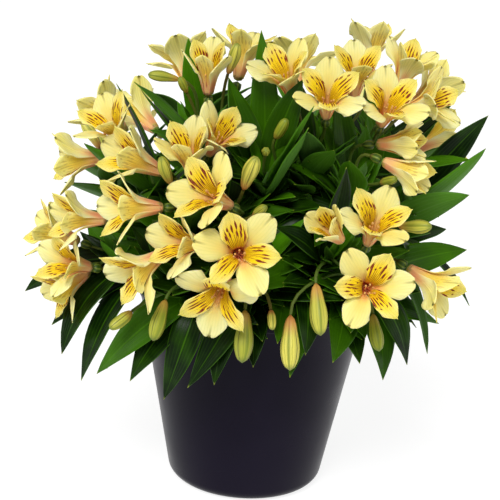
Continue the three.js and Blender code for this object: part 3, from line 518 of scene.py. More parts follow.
def is_leaf(stem, socket, tip):
    """Whether the drawing has a leaf from this socket to this tip."""
    path = socket.leaf_path(tip)
    ridges = [path.point(s) + path.face(socket.axis, s) * LEAF_THICKNESS / 2 for s in (0.28, 0.62)]
    return stem.corners.hold(*ridges)


def shown_leaf(stem, leaf):
    """Socket, tip and width of a leaf with a chosen tip, or nothing if it didn't grow."""
    for rise, deep in itertools.product(SHOWN_RISE, SHOWN_DEEPER):
        tip = np.array(leaf.tip, float) + (0, deep, rise)
        if stem.corners.hold(tip):
            for socket in stem.sockets:
                if is_leaf(stem, socket, tip):
                    return socket, tip, leaf.width
    return None


def ruled_tip(stem, socket, length, turn, rise):
    """The tip of a leaf by rule: lower leaves hang, upper ones climb, and none points far inward."""
    share = stem.rings[socket.ring] / stem.length
    radial = unit((socket.centre - CROWN_CENTRE) * (1, 1, 0))
    out = unit(socket.out * (1, 1, 0))
    cos, sin = math.cos(math.radians(turn)), math.sin(math.radians(turn))
    out = np.array([out[0] * cos - out[1] * sin, out[0] * sin + out[1] * cos, 0])
    inward = max(0, -out.dot(radial))
    climb = math.radians(min(75, mix(-45, 45, share) + rise + 30 * inward))
    return socket.centre + out * length * math.cos(climb) + UP * length * math.sin(climb)


def ruled_leaf(stem, index):
    """Socket, tip and width of the stem's next leaf by rule, or nothing if it didn't grow."""
    ring = LEAF_RINGS - index % LEAF_RINGS
    draw = spread(index + 3.7 * stem.across[0] + stem.length)
    sockets = [socket for socket in stem.sockets if socket.ring == ring]
    for scale, turn, rise, socket in itertools.product(RULED_SCALE, RULED_TURN, RULED_RISE, sockets):
        tip = ruled_tip(stem, socket, mix(*RULED_LENGTH, draw) * scale, turn, rise)
        if stem.corners.hold(tip) and is_leaf(stem, socket, tip):
            return socket, tip, mix(*RULED_WIDTH, draw) * (0.5 + 0.5 * scale)
    return None


class Room:
    """What already stands in the crown, so that young leaves find their way past it."""

    def __init__(self):
        self.points = []
        self.late = [NOWHERE]
        self.tree = KDTree(0)
        self.tree.balance()

    def fill(self, points):
        self.late.append(points)
        if len(self.late) > ROOM_PATIENCE:
            self.points += self.late
            self.late = [NOWHERE]
            every = np.concatenate(self.points)
            self.tree = KDTree(len(every))
            for i, point in enumerate(every):
                self.tree.insert(point, i)
            self.tree.balance()

    def free(self, points):
        late = np.concatenate(self.late)
        if np.linalg.norm(late[:, None] - points, axis=-1).min() < YOUNG_CLEAR:
            return False
        return all(self.tree.find(Vector(point))[2] > YOUNG_CLEAR for point in points)


def in_crown(point):
    return (((point - CROWN_CENTRE) / YOUNG_REACH) ** 2).sum() < 1 and point[2] > YOUNG_LOWEST


def in_pot(points):
    """Whether any of the points is in the pot's soil, or in its wall or nearly so."""
    radius = np.hypot(points[:, 0], points[:, 1])
    height = points[:, 2]
    outside = pot_outside(height)
    in_wall = (radius > outside - POT_WALL - POT_CLEAR) & (radius < outside + POT_LIP_OUT + POT_CLEAR)
    in_soil = (radius < outside) & (height < SOIL_EDGE_HEIGHT + SOIL_DOME)
    return ((height < POT_HEIGHT + POT_CLEAR) & (in_wall | in_soil)).any()


def leaf_trace(perch, path, width, shares):
    """Points down the middle of a leaf and along its two edges."""
    half = np.sin(np.pi * shares**0.8)[:, None] * width / 2
    side = np.cross(path.tangents(shares), path.faces(perch.axis, shares))
    middle = path.points(shares)
    return np.concatenate([middle, middle + side * half, middle - side * half])


def young_leaf(stem, distance, length, draw, room):
    """Perch, tip and width of a small leaf that finds a free way out, or nothing."""
    share = distance / stem.length
    for _ in range(YOUNG_TRIES):
        perch = Perch(stem, distance, draw.uniform(0, 2 * math.pi))
        climb = math.radians(mix(*YOUNG_CLIMB, share) + draw.uniform(-20, 25))
        level = unit(perch.out * (1, 1, 0) + 0.001)
        tip = perch.centre + (level * math.cos(climb) + UP * math.sin(climb)) * length
        path = perch.leaf_path(tip)
        width = length * draw.uniform(*YOUNG_WIDTH)
        places = leaf_trace(perch, path, width, np.array([0.3, 0.45, 0.6, 0.8, 1.0]))
        whole = leaf_trace(perch, path, width, np.linspace(0.1, 1, 24))
        if in_crown(tip) and room.free(places) and not in_pot(whole):
            return perch, tip, width
    return None


def young_leaves(stem, room):
    """The small leaves between a stem's large ones, and the whorl under its flowers."""
    draw = random.Random("young " + stem.key)
    found = []
    for k in range(YOUNG_LEAVES + WHORL_LEAVES):
        if k < YOUNG_LEAVES:
            distance = mix(stem.rings[1], stem.rings[LEAF_RINGS], spread(k + 0.5))
            length = draw.uniform(*YOUNG_LENGTH)
        else:
            distance = stem.length - draw.uniform(*WHORL_BELOW)
            length = draw.uniform(*WHORL_LENGTH)
        leaf = young_leaf(stem, distance, length, draw, room)
        if leaf:
            found.append(leaf)
            path = leaf[0].leaf_path(leaf[1])
            room.fill(path.points(np.linspace(0.15, 1, 8)))
    return found


def stem_leaves(stem):
    """Every leaf of a stem, each once."""
    found = [shown_leaf(stem, leaf) for leaf in SHOWN_LEAVES if leaf.stem == stem.key]
    found += [ruled_leaf(stem, index) for index in range(min(stem.leaves, MOST_RULED_LEAVES))]
    kept = {}
    for leaf in filter(None, found):
        kept.setdefault(tuple(np.round(leaf[1], 1)), leaf)
    return list(kept.values())


def stalk_place(stem, foot, axis):
    """Socket and path of the stalk to a pod or bud, or nothing if it didn't grow."""
    for slack, socket in itertools.product(STALK_SLACK, stem.head_sockets):
        path = socket.stalk_path(foot, axis, slack)
        if stem.corners.hold(path.point(0.5) + path.face(socket.axis, 0.5) * STALK_RADIUS):
            return socket, path
    return None


class Sheet:
    """A square grid, -1 to 1 across and 0 to 1 along, that leaves, tepals and stalks are bent from."""

    def __init__(self, columns, rows, crowding=1.0):
        bpy.ops.mesh.primitive_grid_add(x_subdivisions=columns, y_subdivisions=rows, size=2)
        pattern = bpy.context.object
        places = np.empty(3 * len(pattern.data.vertices))
        pattern.data.vertices.foreach_get("co", places)
        self.across, y, _ = places.reshape(-1, 3).T
        self.across = np.sign(self.across) * np.abs(self.across) ** crowding
        self.along = (y + 1) / 2
        self.lines = rows + 1
        self.faces = np.array([face.vertices[:] for face in pattern.data.polygons])
        bpy.data.objects.remove(pattern)


def put(name, data):
    """Puts a mesh, a light or a camera in the scene."""
    made = bpy.data.objects.new(name, data)
    bpy.context.scene.collection.objects.link(made)
    return made


def mesh_piece(name, points, faces):
    """A mesh object made from points in millimetres."""
    mesh = bpy.data.meshes.new(name)
    mesh.from_pydata((np.asarray(points) * MM).tolist(), [], faces)
    return put(name, mesh)


class Growth:
    """Collects bent sheets, and makes them one mesh object."""

    def __init__(self):
        self.parts = []
        self.count = 0

    def add(self, sheet, points, finish, tone):
        self.parts.append((sheet, points, finish, tone, self.count))
        self.count += len(points)

    def build(self, name, finishes):
        sheets, points, chosen, tones, starts = zip(*self.parts)
        faces = np.concatenate([sheet.faces + start for sheet, start in zip(sheets, starts)])
        piece = mesh_piece(name, np.concatenate(points), faces.tolist())
        mesh = piece.data
        places = np.concatenate([np.stack([sheet.across, sheet.along], 1) for sheet in sheets])
        layer = mesh.uv_layers.new(name="Surface")
        layer.data.foreach_set("uv", places[faces.ravel()].astype(np.float32).ravel())
        tones = np.repeat(tones, [len(grid) for grid in points]).astype(np.float32)
        mesh.attributes.new("tone", "FLOAT", "POINT").data.foreach_set("value", tones)
        chosen = np.repeat(chosen, [len(sheet.faces) for sheet in sheets]).astype(np.int32)
        mesh.polygons.foreach_set("material_index", chosen)
        for finish in finishes:
            mesh.materials.append(finish)
        mesh.shade_smooth()
        return piece


def only(piece):
    """Selects one piece and makes it active."""
    bpy.ops.object.select_all(action="DESELECT")
    piece.select_set(True)
    bpy.context.view_layer.objects.active = piece


def thicken(piece, thickness):
    """Gives sheets their thickness. The back takes the finish after the face's own."""
    only(piece)
    solidify = piece.modifiers.new("Thickness", "SOLIDIFY")
    solidify.thickness = thickness
    solidify.offset = 0
    solidify.material_offset = 1
    bpy.ops.object.modifier_apply(modifier=solidify.name)


def weld(piece):
    """Joins the seams and ends of stalks, pods and buds, which are wrapped sheets."""
    only(piece)
    bpy.ops.object.mode_set(mode="EDIT")
    bpy.ops.mesh.select_all(action="SELECT")
    bpy.ops.mesh.remove_doubles(threshold=0.005 * MM)
    bpy.ops.object.mode_set(mode="OBJECT")


def join(piece, other):
    """Joins two meshes that share one list of finishes."""
    only(piece)
    other.select_set(True)
    bpy.ops.object.join()


def make_piece(name, blades, thickness, rounds, finishes):
    """One mesh of thin blades, given their thickness, and welded round parts."""
    piece = blades.build(name, finishes)
    thicken(piece, thickness)
    other = rounds.build("round_" + name, finishes)
    weld(other)
    join(piece, other)
    return piece


def hand_over(piece, node):
    """Puts a finished piece in the frame, in the place of its node."""
    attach(piece, "root")
    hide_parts(node)


def path_rows(path, start, count):
    """Centres, faces and sides of rows spaced evenly along a path."""
    shares = np.linspace(0, 1, count)
    faces = path.faces(start, shares)
    return path.points(shares), faces, np.cross(path.tangents(shares), faces)


def axis_rows(foot, axis, face, places):
    """Centres, faces and sides of rows at places on a straight axis."""
    faces, sides = (np.repeat(way[None], len(places), 0) for way in (face, np.cross(axis, face)))
    return foot + axis * places[:, None], faces, sides


def wrap(growth, sheet, rows, radii, finish, tone, rib_depth=0.0):
    """Bends a sheet round a line: a stalk, stem, pod or bud. Radii of zero close its ends."""
    centres, faces, sides = rows
    row = np.rint(sheet.along * (sheet.lines - 1)).astype(int)
    angle = np.pi * sheet.across
    reach = radii[row] * (1 + rib_depth * np.cos(RIBS * angle))
    way = faces[row] * np.cos(angle)[:, None] + sides[row] * np.sin(angle)[:, None]
    growth.add(sheet, centres[row] + way * reach[:, None], finish, tone)


def tepal_end(across, inner, draw):
    """Where a tepal ends, as a share of its length: pointed inside, broad and notched outside."""
    side = np.abs(across)
    point = 0.03 * np.clip(1 - side / 0.06, 0, 1)
    if inner:
        end = 1.0 - 0.17 * side**1.9 + point
    else:
        end = 0.995 - 0.03 * np.exp(-((across / 0.14) ** 2)) - 0.29 * side**2.4 + 0.8 * point
    return end + 0.006 * smooth(side, 0.1, 0.5) * np.sin(11 * across + draw.uniform(0, 6))


def tepal_half_width(kind, sheet, s, place, k, draw):
    """Half a tepal's width, with its uneven edge. An upper inner tepal is broader than a lower one."""
    v = sheet.along
    half_width = eased(kind["half_widths"], s) * place.size
    notches = np.sin(2 * np.pi * (3.3 * v + draw.random() + 0.3 * np.sign(sheet.across)))
    half_width = half_width * (1 + 0.045 * smooth(v, 0.4, 0.8) * notches)
    if kind is INNER_TEPAL:
        half_width = half_width * mix(0.86, 1.3, 0.5 + 0.5 * place.outward(k)[2])
    return half_width


def tepal_lift(kind, sheet, half_width, draw):
    """How far a tepal stands off its flat form: its cup, ruffled edge, curl, twist and keel."""
    u, v = sheet.across, sheet.along
    bowl = 1 - (0.3 if kind is INNER_TEPAL else draw.uniform(1.0, 2.1)) * smooth(v, 0.45, 0.95)
    cup = kind["cup"] * half_width * np.abs(u) ** 1.7 * bowl
    ruffle = draw.uniform(0.5, 1.3) * np.abs(u) ** 3 * smooth(v, 0.45, 0.9)
    ruffle = ruffle * np.sin(2 * np.pi * (draw.uniform(2.2, 3.4) * v + draw.random() + 0.2 * np.sign(u)))
    curl = draw.uniform(-0.6, 3.2) * smooth(v, 0.6, 1.1)
    twist = draw.uniform(-0.9, 0.9) * u * smooth(v, 0.3, 1)
    keel = -0.35 * np.exp(-((u / 0.12) ** 2)) * smooth(v, 0.3, 0.6)
    return cup + ruffle - curl + twist + keel


def tepal_points(sheet, place, k, draw):
    """A tepal's grid, bent along its midline and shaped."""
    kind = INNER_TEPAL if k % 2 else OUTER_TEPAL
    s = sheet.along * tepal_end(sheet.across, kind is INNER_TEPAL, draw)
    half_width = tepal_half_width(kind, sheet, s, place, k, draw)
    height, out = place.midline(kind, s)
    lean = place.lean(kind, s)[:, None]
    outward = place.outward(k)
    side = np.cross(outward, place.axis)
    face = place.axis * np.sin(lean) - outward * np.cos(lean)
    points = place.base + place.axis * height[:, None] + outward * out[:, None]
    points = points + side * (sheet.across * half_width)[:, None]
    lift = tepal_lift(kind, sheet, half_width, draw) * place.size
    return points + face * lift[:, None]


def add_stamens(growth, sheets, place, draw):
    """Six stamens, bent to the lower side of the throat, with small anthers."""
    filament_sheet, anther_sheet = sheets["filament"], sheets["anther"]
    low = unit(place.sideways * -math.copysign(1, place.sideways[2]) + place.axis * 0.001)
    for k in range(6):
        angle = 2 * math.pi * (k + 0.5) / 6
        ring = place.across * math.cos(angle) + place.sideways * math.sin(angle)
        reach = draw.uniform(*STAMEN_REACH) * place.size
        start = place.base + place.axis * 3 + ring * 1.1
        sag = start + place.axis * 0.55 * reach + low * 3.5 + ring * 1.2
        end = start + place.axis * reach + low * draw.uniform(0, 3) + ring * draw.uniform(1.5, 3.4)
        path = Path(start, sag, end)
        rows = path_rows(path, unit(ring + 0.01 * place.axis), filament_sheet.lines)
        radii = np.linspace(*FILAMENT_TAPER, filament_sheet.lines)
        radii[[0, -1]] = 0
        wrap(growth, filament_sheet, rows, radii, FILAMENT, draw.random())
        places = np.linspace(-ANTHER_HALF, ANTHER_HALF, anther_sheet.lines)
        radii = ANTHER_RADIUS * np.sqrt(np.clip(1 - (places / ANTHER_HALF) ** 2, 0, 1)) * place.size
        rows = axis_rows(path.point(1), path.tangent(1), rows[1][-1], places * place.size)
        wrap(growth, anther_sheet, rows, radii, ANTHER, draw.random())


# Order of a bloom's finishes. The back of a sheet takes the one after its face.
OUTER_FACE, OUTER_BACK, INNER_FACE, INNER_BACK, RECEPTACLE, FILAMENT, ANTHER = range(7)


def make_bloom(name, room, sheets, finishes):
    """One bloom: six tepals, the receptacle that they stand on, and the stamens."""
    place = bloom_place(name)
    draw = random.Random("bloom " + name)
    petals = Growth()
    for k in range(6):
        points = tepal_points(sheets["tepal"], place, k, draw)
        room.fill(points[::7])
        petals.add(sheets["tepal"], points, INNER_FACE if k % 2 else OUTER_FACE, draw.random())
    heart = Growth()
    heights = np.linspace(*HEART_SPAN, len(HEART_PROFILE))
    rows = axis_rows(place.base, place.axis, place.across, heights)
    wrap(heart, sheets["pod"], rows, np.array(HEART_PROFILE) * place.size, RECEPTACLE, draw.random())
    if place.open > STAMENS_SHOW:
        add_stamens(heart, sheets, place, draw)
    thickness = bpy.context.scene.lily_flowers.petal_thickness
    piece = make_piece("flower_" + name, petals, thickness, heart, finishes)
    hand_over(piece, "bloom_" + name)
    return place


# Order of a leafy stem's finishes.
LEAF_FACE, LEAF_BACK, STEM, STALK, POD, BUD = range(6)


def leaf_points(sheet, socket, tip, width, draw):
    """A leaf's grid: lance-shaped, folded along its midrib, its edges a little waved."""
    u, v = sheet.across, sheet.along
    path = socket.leaf_path(tip)
    shares = np.linspace(0, 1, 49)
    carried = path.faces(socket.axis, shares)
    face = unit(np.stack([np.interp(v, shares, carried[:, k]) for k in range(3)], 1))
    side = np.cross(path.tangents(v), face)
    root = LEAF_ROOT_HALF * (1 - smooth(v, 0.7, 1))
    half_width = root + (width / 2 - LEAF_ROOT_HALF) * np.sin(np.pi * v**0.9) ** 0.85
    fold = LEAF_CHANNEL * half_width * (np.abs(u) ** 1.4) * draw.uniform(0.7, 1.25)
    wave = draw.uniform(0.2, 0.7) * u * u * np.sin(2 * np.pi * (draw.uniform(1.2, 2.2) * v + draw.random()))
    lift = (fold + wave * np.sign(u) * smooth(v, 0, 0.3)) * (1 - smooth(v, 0.9, 1))
    groove = -0.3 * np.exp(-((u / 0.13) ** 2)) * smooth(v, 0, 0.2) * (1 - smooth(v, 0.8, 1))
    points = path.points(v) + side * (u * half_width)[:, None]
    return points + face * (lift + groove)[:, None]


def add_stalk(growth, sheet, socket, path, draw):
    rows = path_rows(path, socket.axis, sheet.lines)
    radii = np.interp(np.linspace(0, 1, sheet.lines), *zip(*STALK_PROFILE))
    radii[0] = 0
    wrap(growth, sheet, rows, radii, STALK, draw.random())


def add_pod(growth, sheet, foot, axis, face, draw):
    """The six-ribbed seed-pod under a bloom."""
    places = np.linspace(-POD_SUNK, POD_LENGTH, sheet.lines)
    radii = eased(POD_PROFILE, places)
    radii[[0, -1]] = 0
    wrap(growth, sheet, axis_rows(foot, axis, face, places), radii, POD, draw.random(), POD_RIB_DEPTH)


def add_bud(growth, sheet, foot, axis, face, length, draw):
    """A closed bud: six folds of tepal, drawn to a blunt point."""
    places = length * np.linspace(0, 1, sheet.lines) ** 0.9 - 0.5
    profile = SHORT_BUD if length < LONG_BUD_FROM else LONG_BUD
    radii = eased(((0, 1.2 / length), *profile), places / length) * length
    radii[[0, -1]] = 0
    bend = draw.uniform(-0.04, 0.04) * length * np.sin(np.pi * places / length)
    centres, faces, sides = axis_rows(foot, axis, face, places)
    rows = centres + face * bend[:, None], faces, sides
    wrap(growth, sheet, rows, radii, BUD, draw.random(), BUD_RIB_DEPTH)


def grow_blades(stem, leaves, room, sheets, draw):
    """A stem's large leaves and its young ones, as sheets."""
    blades = Growth()
    for socket, tip, width in leaves:
        # Higher leaves get a brighter tone: partly younger leaves, partly painted light on the upper crown
        tone = min(1, draw.random() * 0.75 + 0.35 * smooth(socket.centre[2], *YOUNG_AND_LIT_ROOTS))
        points = leaf_points(sheets["leaf"], socket, tip, width, draw)
        blades.add(sheets["leaf"], points, LEAF_FACE, tone)
    for perch, tip, width in young_leaves(stem, room):
        # Higher young leaves get a brighter tone: partly their youth, partly painted light on the upper crown
        tone = min(1, draw.uniform(0.35, 0.8) + 0.3 * smooth(tip[2], *YOUNG_AND_LIT_TIPS))
        points = leaf_points(sheets["young"], perch, tip, width, draw)
        blades.add(sheets["young"], points, LEAF_FACE, tone)
    return blades


def grow_stalks(stem, blooms, sheets, draw):
    """The stem itself, the stalks of its head, and their pods and buds."""
    stalks = Growth()
    shares = np.linspace(0, 1, sheets["stem"].lines)
    tangents = stem.path.tangents(shares)
    faces = np.cross(stem.across, tangents)
    radii = np.linspace(*STEM_TAPER, sheets["stem"].lines)
    radii[[0, -1]] = 0
    rows = stem.path.points(shares), faces, np.cross(tangents, faces)
    wrap(stalks, sheets["stem"], rows, radii, STEM, draw.random())
    heads = [(place.base - place.axis * (POD_LENGTH + 1.2 * GAP), place.axis, None) for place in blooms]
    buds = [bud for bud in BUDS if bud.stem == stem.key]
    heads += [(np.array(bud.base, float), unit(np.array(bud.points, float)), bud.length) for bud in buds]
    for foot, axis, bud_length in heads:
        grown = stalk_place(stem, foot, axis)
        if grown:
            socket, path = grown
            face = path.face(socket.axis, 1)
            add_stalk(stalks, sheets["stalk"], socket, path, draw)
            if bud_length:
                add_bud(stalks, sheets["bud"], foot, axis, face, bud_length, draw)
            else:
                add_pod(stalks, sheets["pod"], foot, axis, face, draw)
    return stalks


def make_leafy_stem(stem, leaves, blooms, room, sheets, finishes):
    """One stem with its leaves, the stalks of its head, their pods and its buds."""
    draw = random.Random("stem " + stem.key)
    blades = grow_blades(stem, leaves, room, sheets, draw)
    stalks = grow_stalks(stem, blooms, sheets, draw)
    thickness = bpy.context.scene.lily_leaves.leaf_thickness
    piece = make_piece("shoot_" + stem.key, blades, thickness, stalks, finishes)
    hand_over(piece, "leafy_stem_" + stem.key)


class Signal:
    """One output of a material's nodes, for writing its maths as expressions."""

    def __init__(self, finish, socket):
        self.finish = finish
        self.socket = socket

    def _maths(self, operation, *values):
        return self.finish.node("ShaderNodeMath", {"operation": operation}, dict(enumerate(values)))

    def __add__(self, other):
        return self._maths("ADD", self, other)

    def __radd__(self, other):
        return self._maths("ADD", other, self)

    def __sub__(self, other):
        return self._maths("SUBTRACT", self, other)

    def __rsub__(self, other):
        return self._maths("SUBTRACT", other, self)

    def __mul__(self, other):
        return self._maths("MULTIPLY", self, other)

    def __rmul__(self, other):
        return self._maths("MULTIPLY", other, self)

    def __truediv__(self, other):
        return self._maths("DIVIDE", self, other)

    def __abs__(self):
        return self._maths("ABSOLUTE", self)

    def floor(self):
        return self._maths("FLOOR", self)

    def sine(self):
        return self._maths("SINE", self)

    def most(self, other):
        return self._maths("MAXIMUM", self, other)

    def rises(self, low, high):
        """0 below low, 1 above high, and smooth between them."""
        settings = {"interpolation_type": "SMOOTHSTEP"}
        return self.finish.node("ShaderNodeMapRange", settings, {0: self, 1: low, 2: high, 3: 0.0, 4: 1.0})

    def falls(self, low, high):
        return 1 - self.rises(low, high)


class Finish:
    """A material, written as expressions on its nodes and painted in layers of colour."""

    def __init__(self, name, roughness, **shader):
        self.material = bpy.data.materials.new(name)
        self.material.use_nodes = True
        self.nodes = self.material.node_tree.nodes
        self.links = self.material.node_tree.links
        self.shader = next(node for node in self.nodes if node.type == "BSDF_PRINCIPLED")
        self.shader.inputs["Roughness"].default_value = roughness
        for socket, value in shader.items():
            self.shader.inputs[socket.replace("_", " ")].default_value = value

    def node(self, kind, settings=None, values=None, output=0):
        made = self.nodes.new(kind)
        for key, value in (settings or {}).items():
            setattr(made, key, value)
        for key, value in (values or {}).items():
            self.feed(made.inputs[key], value)
        return Signal(self, made.outputs[output])

    def feed(self, socket, value):
        if isinstance(value, Signal):
            self.links.new(value.socket, socket)
        elif isinstance(value, tuple) and len(socket.default_value) == 4:
            socket.default_value = (*value, 1)
        else:
            socket.default_value = value

    def base(self, first, second, share):
        """Starts the paint with a blend of two colours."""
        self.colour = first
        self.over(second, share)

    def over(self, colour, share):
        """Lays a colour over the paint so far."""
        settings = {"data_type": "RGBA", "clamp_factor": True}
        self.colour = self.node("ShaderNodeMix", settings, {0: share, 6: self.colour, 7: colour}, 2)

    def surface(self):
        """The piece's own places across and along the blade."""
        uv = self.node("ShaderNodeUVMap", {"uv_map": "Surface"})
        split = self.node("ShaderNodeSeparateXYZ", None, {0: uv})
        outputs = split.socket.node.outputs
        return Signal(self, outputs[0]), Signal(self, outputs[1])

    def tone(self):
        """The blade's own tone, from 0 to 1."""
        return self.node("ShaderNodeAttribute", {"attribute_name": "tone"}, None, 2)

    def noise(self, scale, detail=2.0):
        """Soft cloudy noise through the object, scale cycles to the metre."""
        place = self.node("ShaderNodeTexCoord", None, None, 3)
        return self.node("ShaderNodeTexNoise", None, {"Vector": place, "Scale": scale, "Detail": detail})

    def chance(self, *numbers):
        """A random value from 0 to 1 for a whole number, or for two."""
        joined = self.node("ShaderNodeCombineXYZ", None, dict(enumerate(numbers)))
        return self.node("ShaderNodeTexWhiteNoise", {"noise_dimensions": "3D"}, {"Vector": joined})

    def painted(self):
        """The material, with its paint on."""
        self.feed(self.shader.inputs["Base Color"], self.colour)
        return self.material

    def emboss(self, height, distance, strength=1.0):
        """Relief of a height from 0 to 1, distance millimetres deep."""
        values = {"Strength": strength, "Distance": distance * MM, "Height": height}
        bump = self.node("ShaderNodeBump", None, values)
        self.feed(self.shader.inputs["Normal"], bump)


PETAL_SHEEN = {
    "Subsurface_Weight": 0.6, "Subsurface_Scale": 0.004, "Subsurface_Radius": (1.0, 0.85, 0.4),
    "Specular_IOR_Level": 0.15,
}
CREAM = (0.79, 0.60, 0.145)
PALE = (0.83, 0.71, 0.235)
IVORY = (0.86, 0.80, 0.38)
GOLD = (0.90, 0.55, 0.006)
PEACH = (0.86, 0.42, 0.10)
BLUSH = (0.90, 0.36, 0.19)
SALMON = (0.86, 0.27, 0.13)
ROSE = (0.76, 0.17, 0.085)
MAROON = (0.15, 0.013, 0.008)
UMBER = (0.27, 0.07, 0.006)
OLIVE = (0.055, 0.065, 0.008)
LIME = (0.38, 0.42, 0.05)
AMBER = (0.84, 0.56, 0.05)
RECEPTACLE_GREEN = (0.16, 0.24, 0.03)
FILAMENT_ROSE = (0.75, 0.20, 0.10)
FILAMENT_GOLD = (0.86, 0.50, 0.16)
POLLEN_BROWN = (0.50, 0.22, 0.06)
POLLEN_GOLD = (0.66, 0.40, 0.10)
STEM_DEEP = (0.020, 0.045, 0.008)
STEM_BROWN = (0.055, 0.030, 0.012)
STEM_FRESH = (0.045, 0.085, 0.012)
STALK_GREEN = (0.06, 0.12, 0.012)
STALK_RED = (0.15, 0.07, 0.015)
POD_DEEP = (0.035, 0.075, 0.008)
POD_LIGHT = (0.15, 0.20, 0.02)
POD_RED = (0.20, 0.07, 0.02)
BUD_GREEN = (0.25, 0.28, 0.016)
BUD_YELLOW = (0.62, 0.56, 0.09)
BUD_VEIN = (0.12, 0.16, 0.010)
BUD_SEAM = (0.05, 0.06, 0.006)
BUD_FOLD = (0.12, 0.17, 0.012)
BUD_TIP = (0.09, 0.14, 0.012)
BUD_RED = (0.50, 0.15, 0.05)
PLUM_DEEP = (0.0036, 0.0022, 0.0085)
PLUM_LIGHT = (0.0060, 0.0042, 0.0120)
PEAT_DARK = (0.018, 0.011, 0.007)
PEAT_LIGHT = (0.075, 0.045, 0.025)
PERLITE_GREY = (0.42, 0.38, 0.32)
PERLITE_WHITE = (0.72, 0.69, 0.62)
FLOOR_GREY = (0.24, 0.24, 0.24)


def line(across, width):
    """1 on a line up the middle of a blade, 0 off it."""
    return abs(across).falls(width * 0.3, width)


def fine_veins(finish, across, count):
    """Fine lines that run along a blade, 0 between them and 1 on them."""
    return (across * count + finish.noise(150) * 4).sine().rises(0.3, 1.0)


def outer_face():
    """Cream, paler ivory at the tip partly as painted highlight, warmer down the throat, with a green streak
    at the tip.
    """
    finish = Finish("outer_tepal_face", 0.6, **PETAL_SHEEN)
    across, along = finish.surface()
    tone = finish.tone()
    finish.base(CREAM, PALE, abs(across).rises(0.1, 0.95) * 0.7 + tone * 0.3)
    # Ivory towards the tip: partly the tepal's own paler end, partly painted highlight
    finish.over(IVORY, along.rises(0.5, 1.0) * (0.25 + 0.5 * tone))
    cloud = finish.noise(60).rises(0.38, 0.66)
    warm = along.falls(0.3, 0.85) * abs(across).falls(0.1, 0.9)
    finish.over(PEACH, warm * (0.35 + 0.5 * cloud) * (0.5 + tone))
    veins = fine_veins(finish, across, 34)
    finish.over(LIME, veins * along.rises(0.3, 1.0) * 0.14)
    finish.over(SALMON, along.falls(0.32, 0.6) * (0.45 + 0.4 * tone))
    finish.over(ROSE, along.falls(0.08, 0.26) * 0.7)
    streak = line(across, 0.1) * along.rises(0.76, 0.98)
    finish.over(OLIVE, streak * 0.55)
    finish.over(OLIVE, line(across, 0.18) * along.rises(0.95, 0.99) * 0.9)
    finish.emboss(veins, 0.14, 0.4)
    return finish.painted()


def outer_back():
    """Paler, blushed towards its root, with dark lines up the middle and a green tip."""
    finish = Finish("outer_tepal_back", 0.62, **PETAL_SHEEN)
    across, along = finish.surface()
    tone = finish.tone()
    finish.base(PALE, IVORY, abs(across).rises(0.2, 1.0) * 0.6 + tone * 0.4)
    veins = fine_veins(finish, across, 30)
    finish.over(LIME, veins * along.rises(0.35, 0.8) * 0.2)
    warm = along.falls(0.24, 0.62) * abs(across).falls(0.1, 0.95)
    finish.over(BLUSH, warm * (0.25 + 0.4 * tone))
    finish.over(ROSE, along.falls(0.14, 0.5) * 0.75)
    finish.over(LIME, along.falls(0.0, 0.12) * 0.7)
    lines = line(across, 0.09).most(line(abs(across) - 0.2, 0.05) * 0.6)
    finish.over(UMBER, lines * along.rises(0.12, 0.3) * along.falls(0.5, 0.8) * 0.3)
    finish.over(OLIVE, line(across, 0.14) * along.rises(0.6, 0.99) * 0.5)
    finish.over(OLIVE, line(across, 0.22) * along.rises(0.93, 0.99))
    finish.emboss(veins, 0.12, 0.45)
    return finish.painted()


def streaks(finish, across, along, seed, lanes, first, last, width):
    """Long thin marks, one to a lane across the blade, each from a drawn start to a drawn end."""
    place = across * (lanes / 2) + finish.noise(90) * 0.5
    lane = (place + 0.5).floor()
    start = first[0] + finish.chance(lane, seed) * (first[1] - first[0])
    end = last[0] + finish.chance(lane, seed + 7) * (last[1] - last[0])
    share = (along - start) / (end - start).most(0.02)
    thickness = share.rises(0.0, 0.4) * share.falls(0.55, 1.0) * width
    return (abs(place - lane) / (thickness + 0.01)).falls(0.65, 1.0) * (end - start).rises(0.0, 0.03)


def mark(finish, across, along, tone, strength):
    """The dark marks of an inner tepal: fine streaks in its throat, bold dashes further out."""
    seed = tone * 90
    fine = streaks(finish, across, along, seed, 13, (0.14, 0.34), (0.58, 0.88), 0.28)
    bold = streaks(finish, across, along, seed + 20, 7, (0.42, 0.70), (0.60, 0.90), 0.3)
    last = streaks(finish, across, along, seed + 40, 6, (0.62, 0.84), (0.74, 0.92), 0.27)
    finish.over(UMBER, fine * strength * 0.85)
    finish.over(MAROON, bold.most(last) * strength)


def inner_face():
    """A golden field on cream, with the dark marks, and green at the tip."""
    finish = Finish("inner_tepal_face", 0.6, **PETAL_SHEEN)
    across, along = finish.surface()
    tone = finish.tone()
    finish.base(CREAM, PALE, abs(across).rises(0.3, 1.0) * 0.8)
    golden = along.falls(0.68, 0.97) * abs(across).falls(0.72, 1.2)
    finish.over(GOLD, golden)
    finish.over(LIME, along.rises(0.86, 1.0) * line(across, 0.6) * 0.4)
    finish.over(SALMON, along.falls(0.16, 0.4) * (0.5 + 0.4 * tone))
    finish.over(ROSE, along.falls(0.08, 0.22) * 0.8)
    mark(finish, across, along, tone, 1.0)
    finish.emboss(fine_veins(finish, across, 26), 0.16, 0.4)
    return finish.painted()


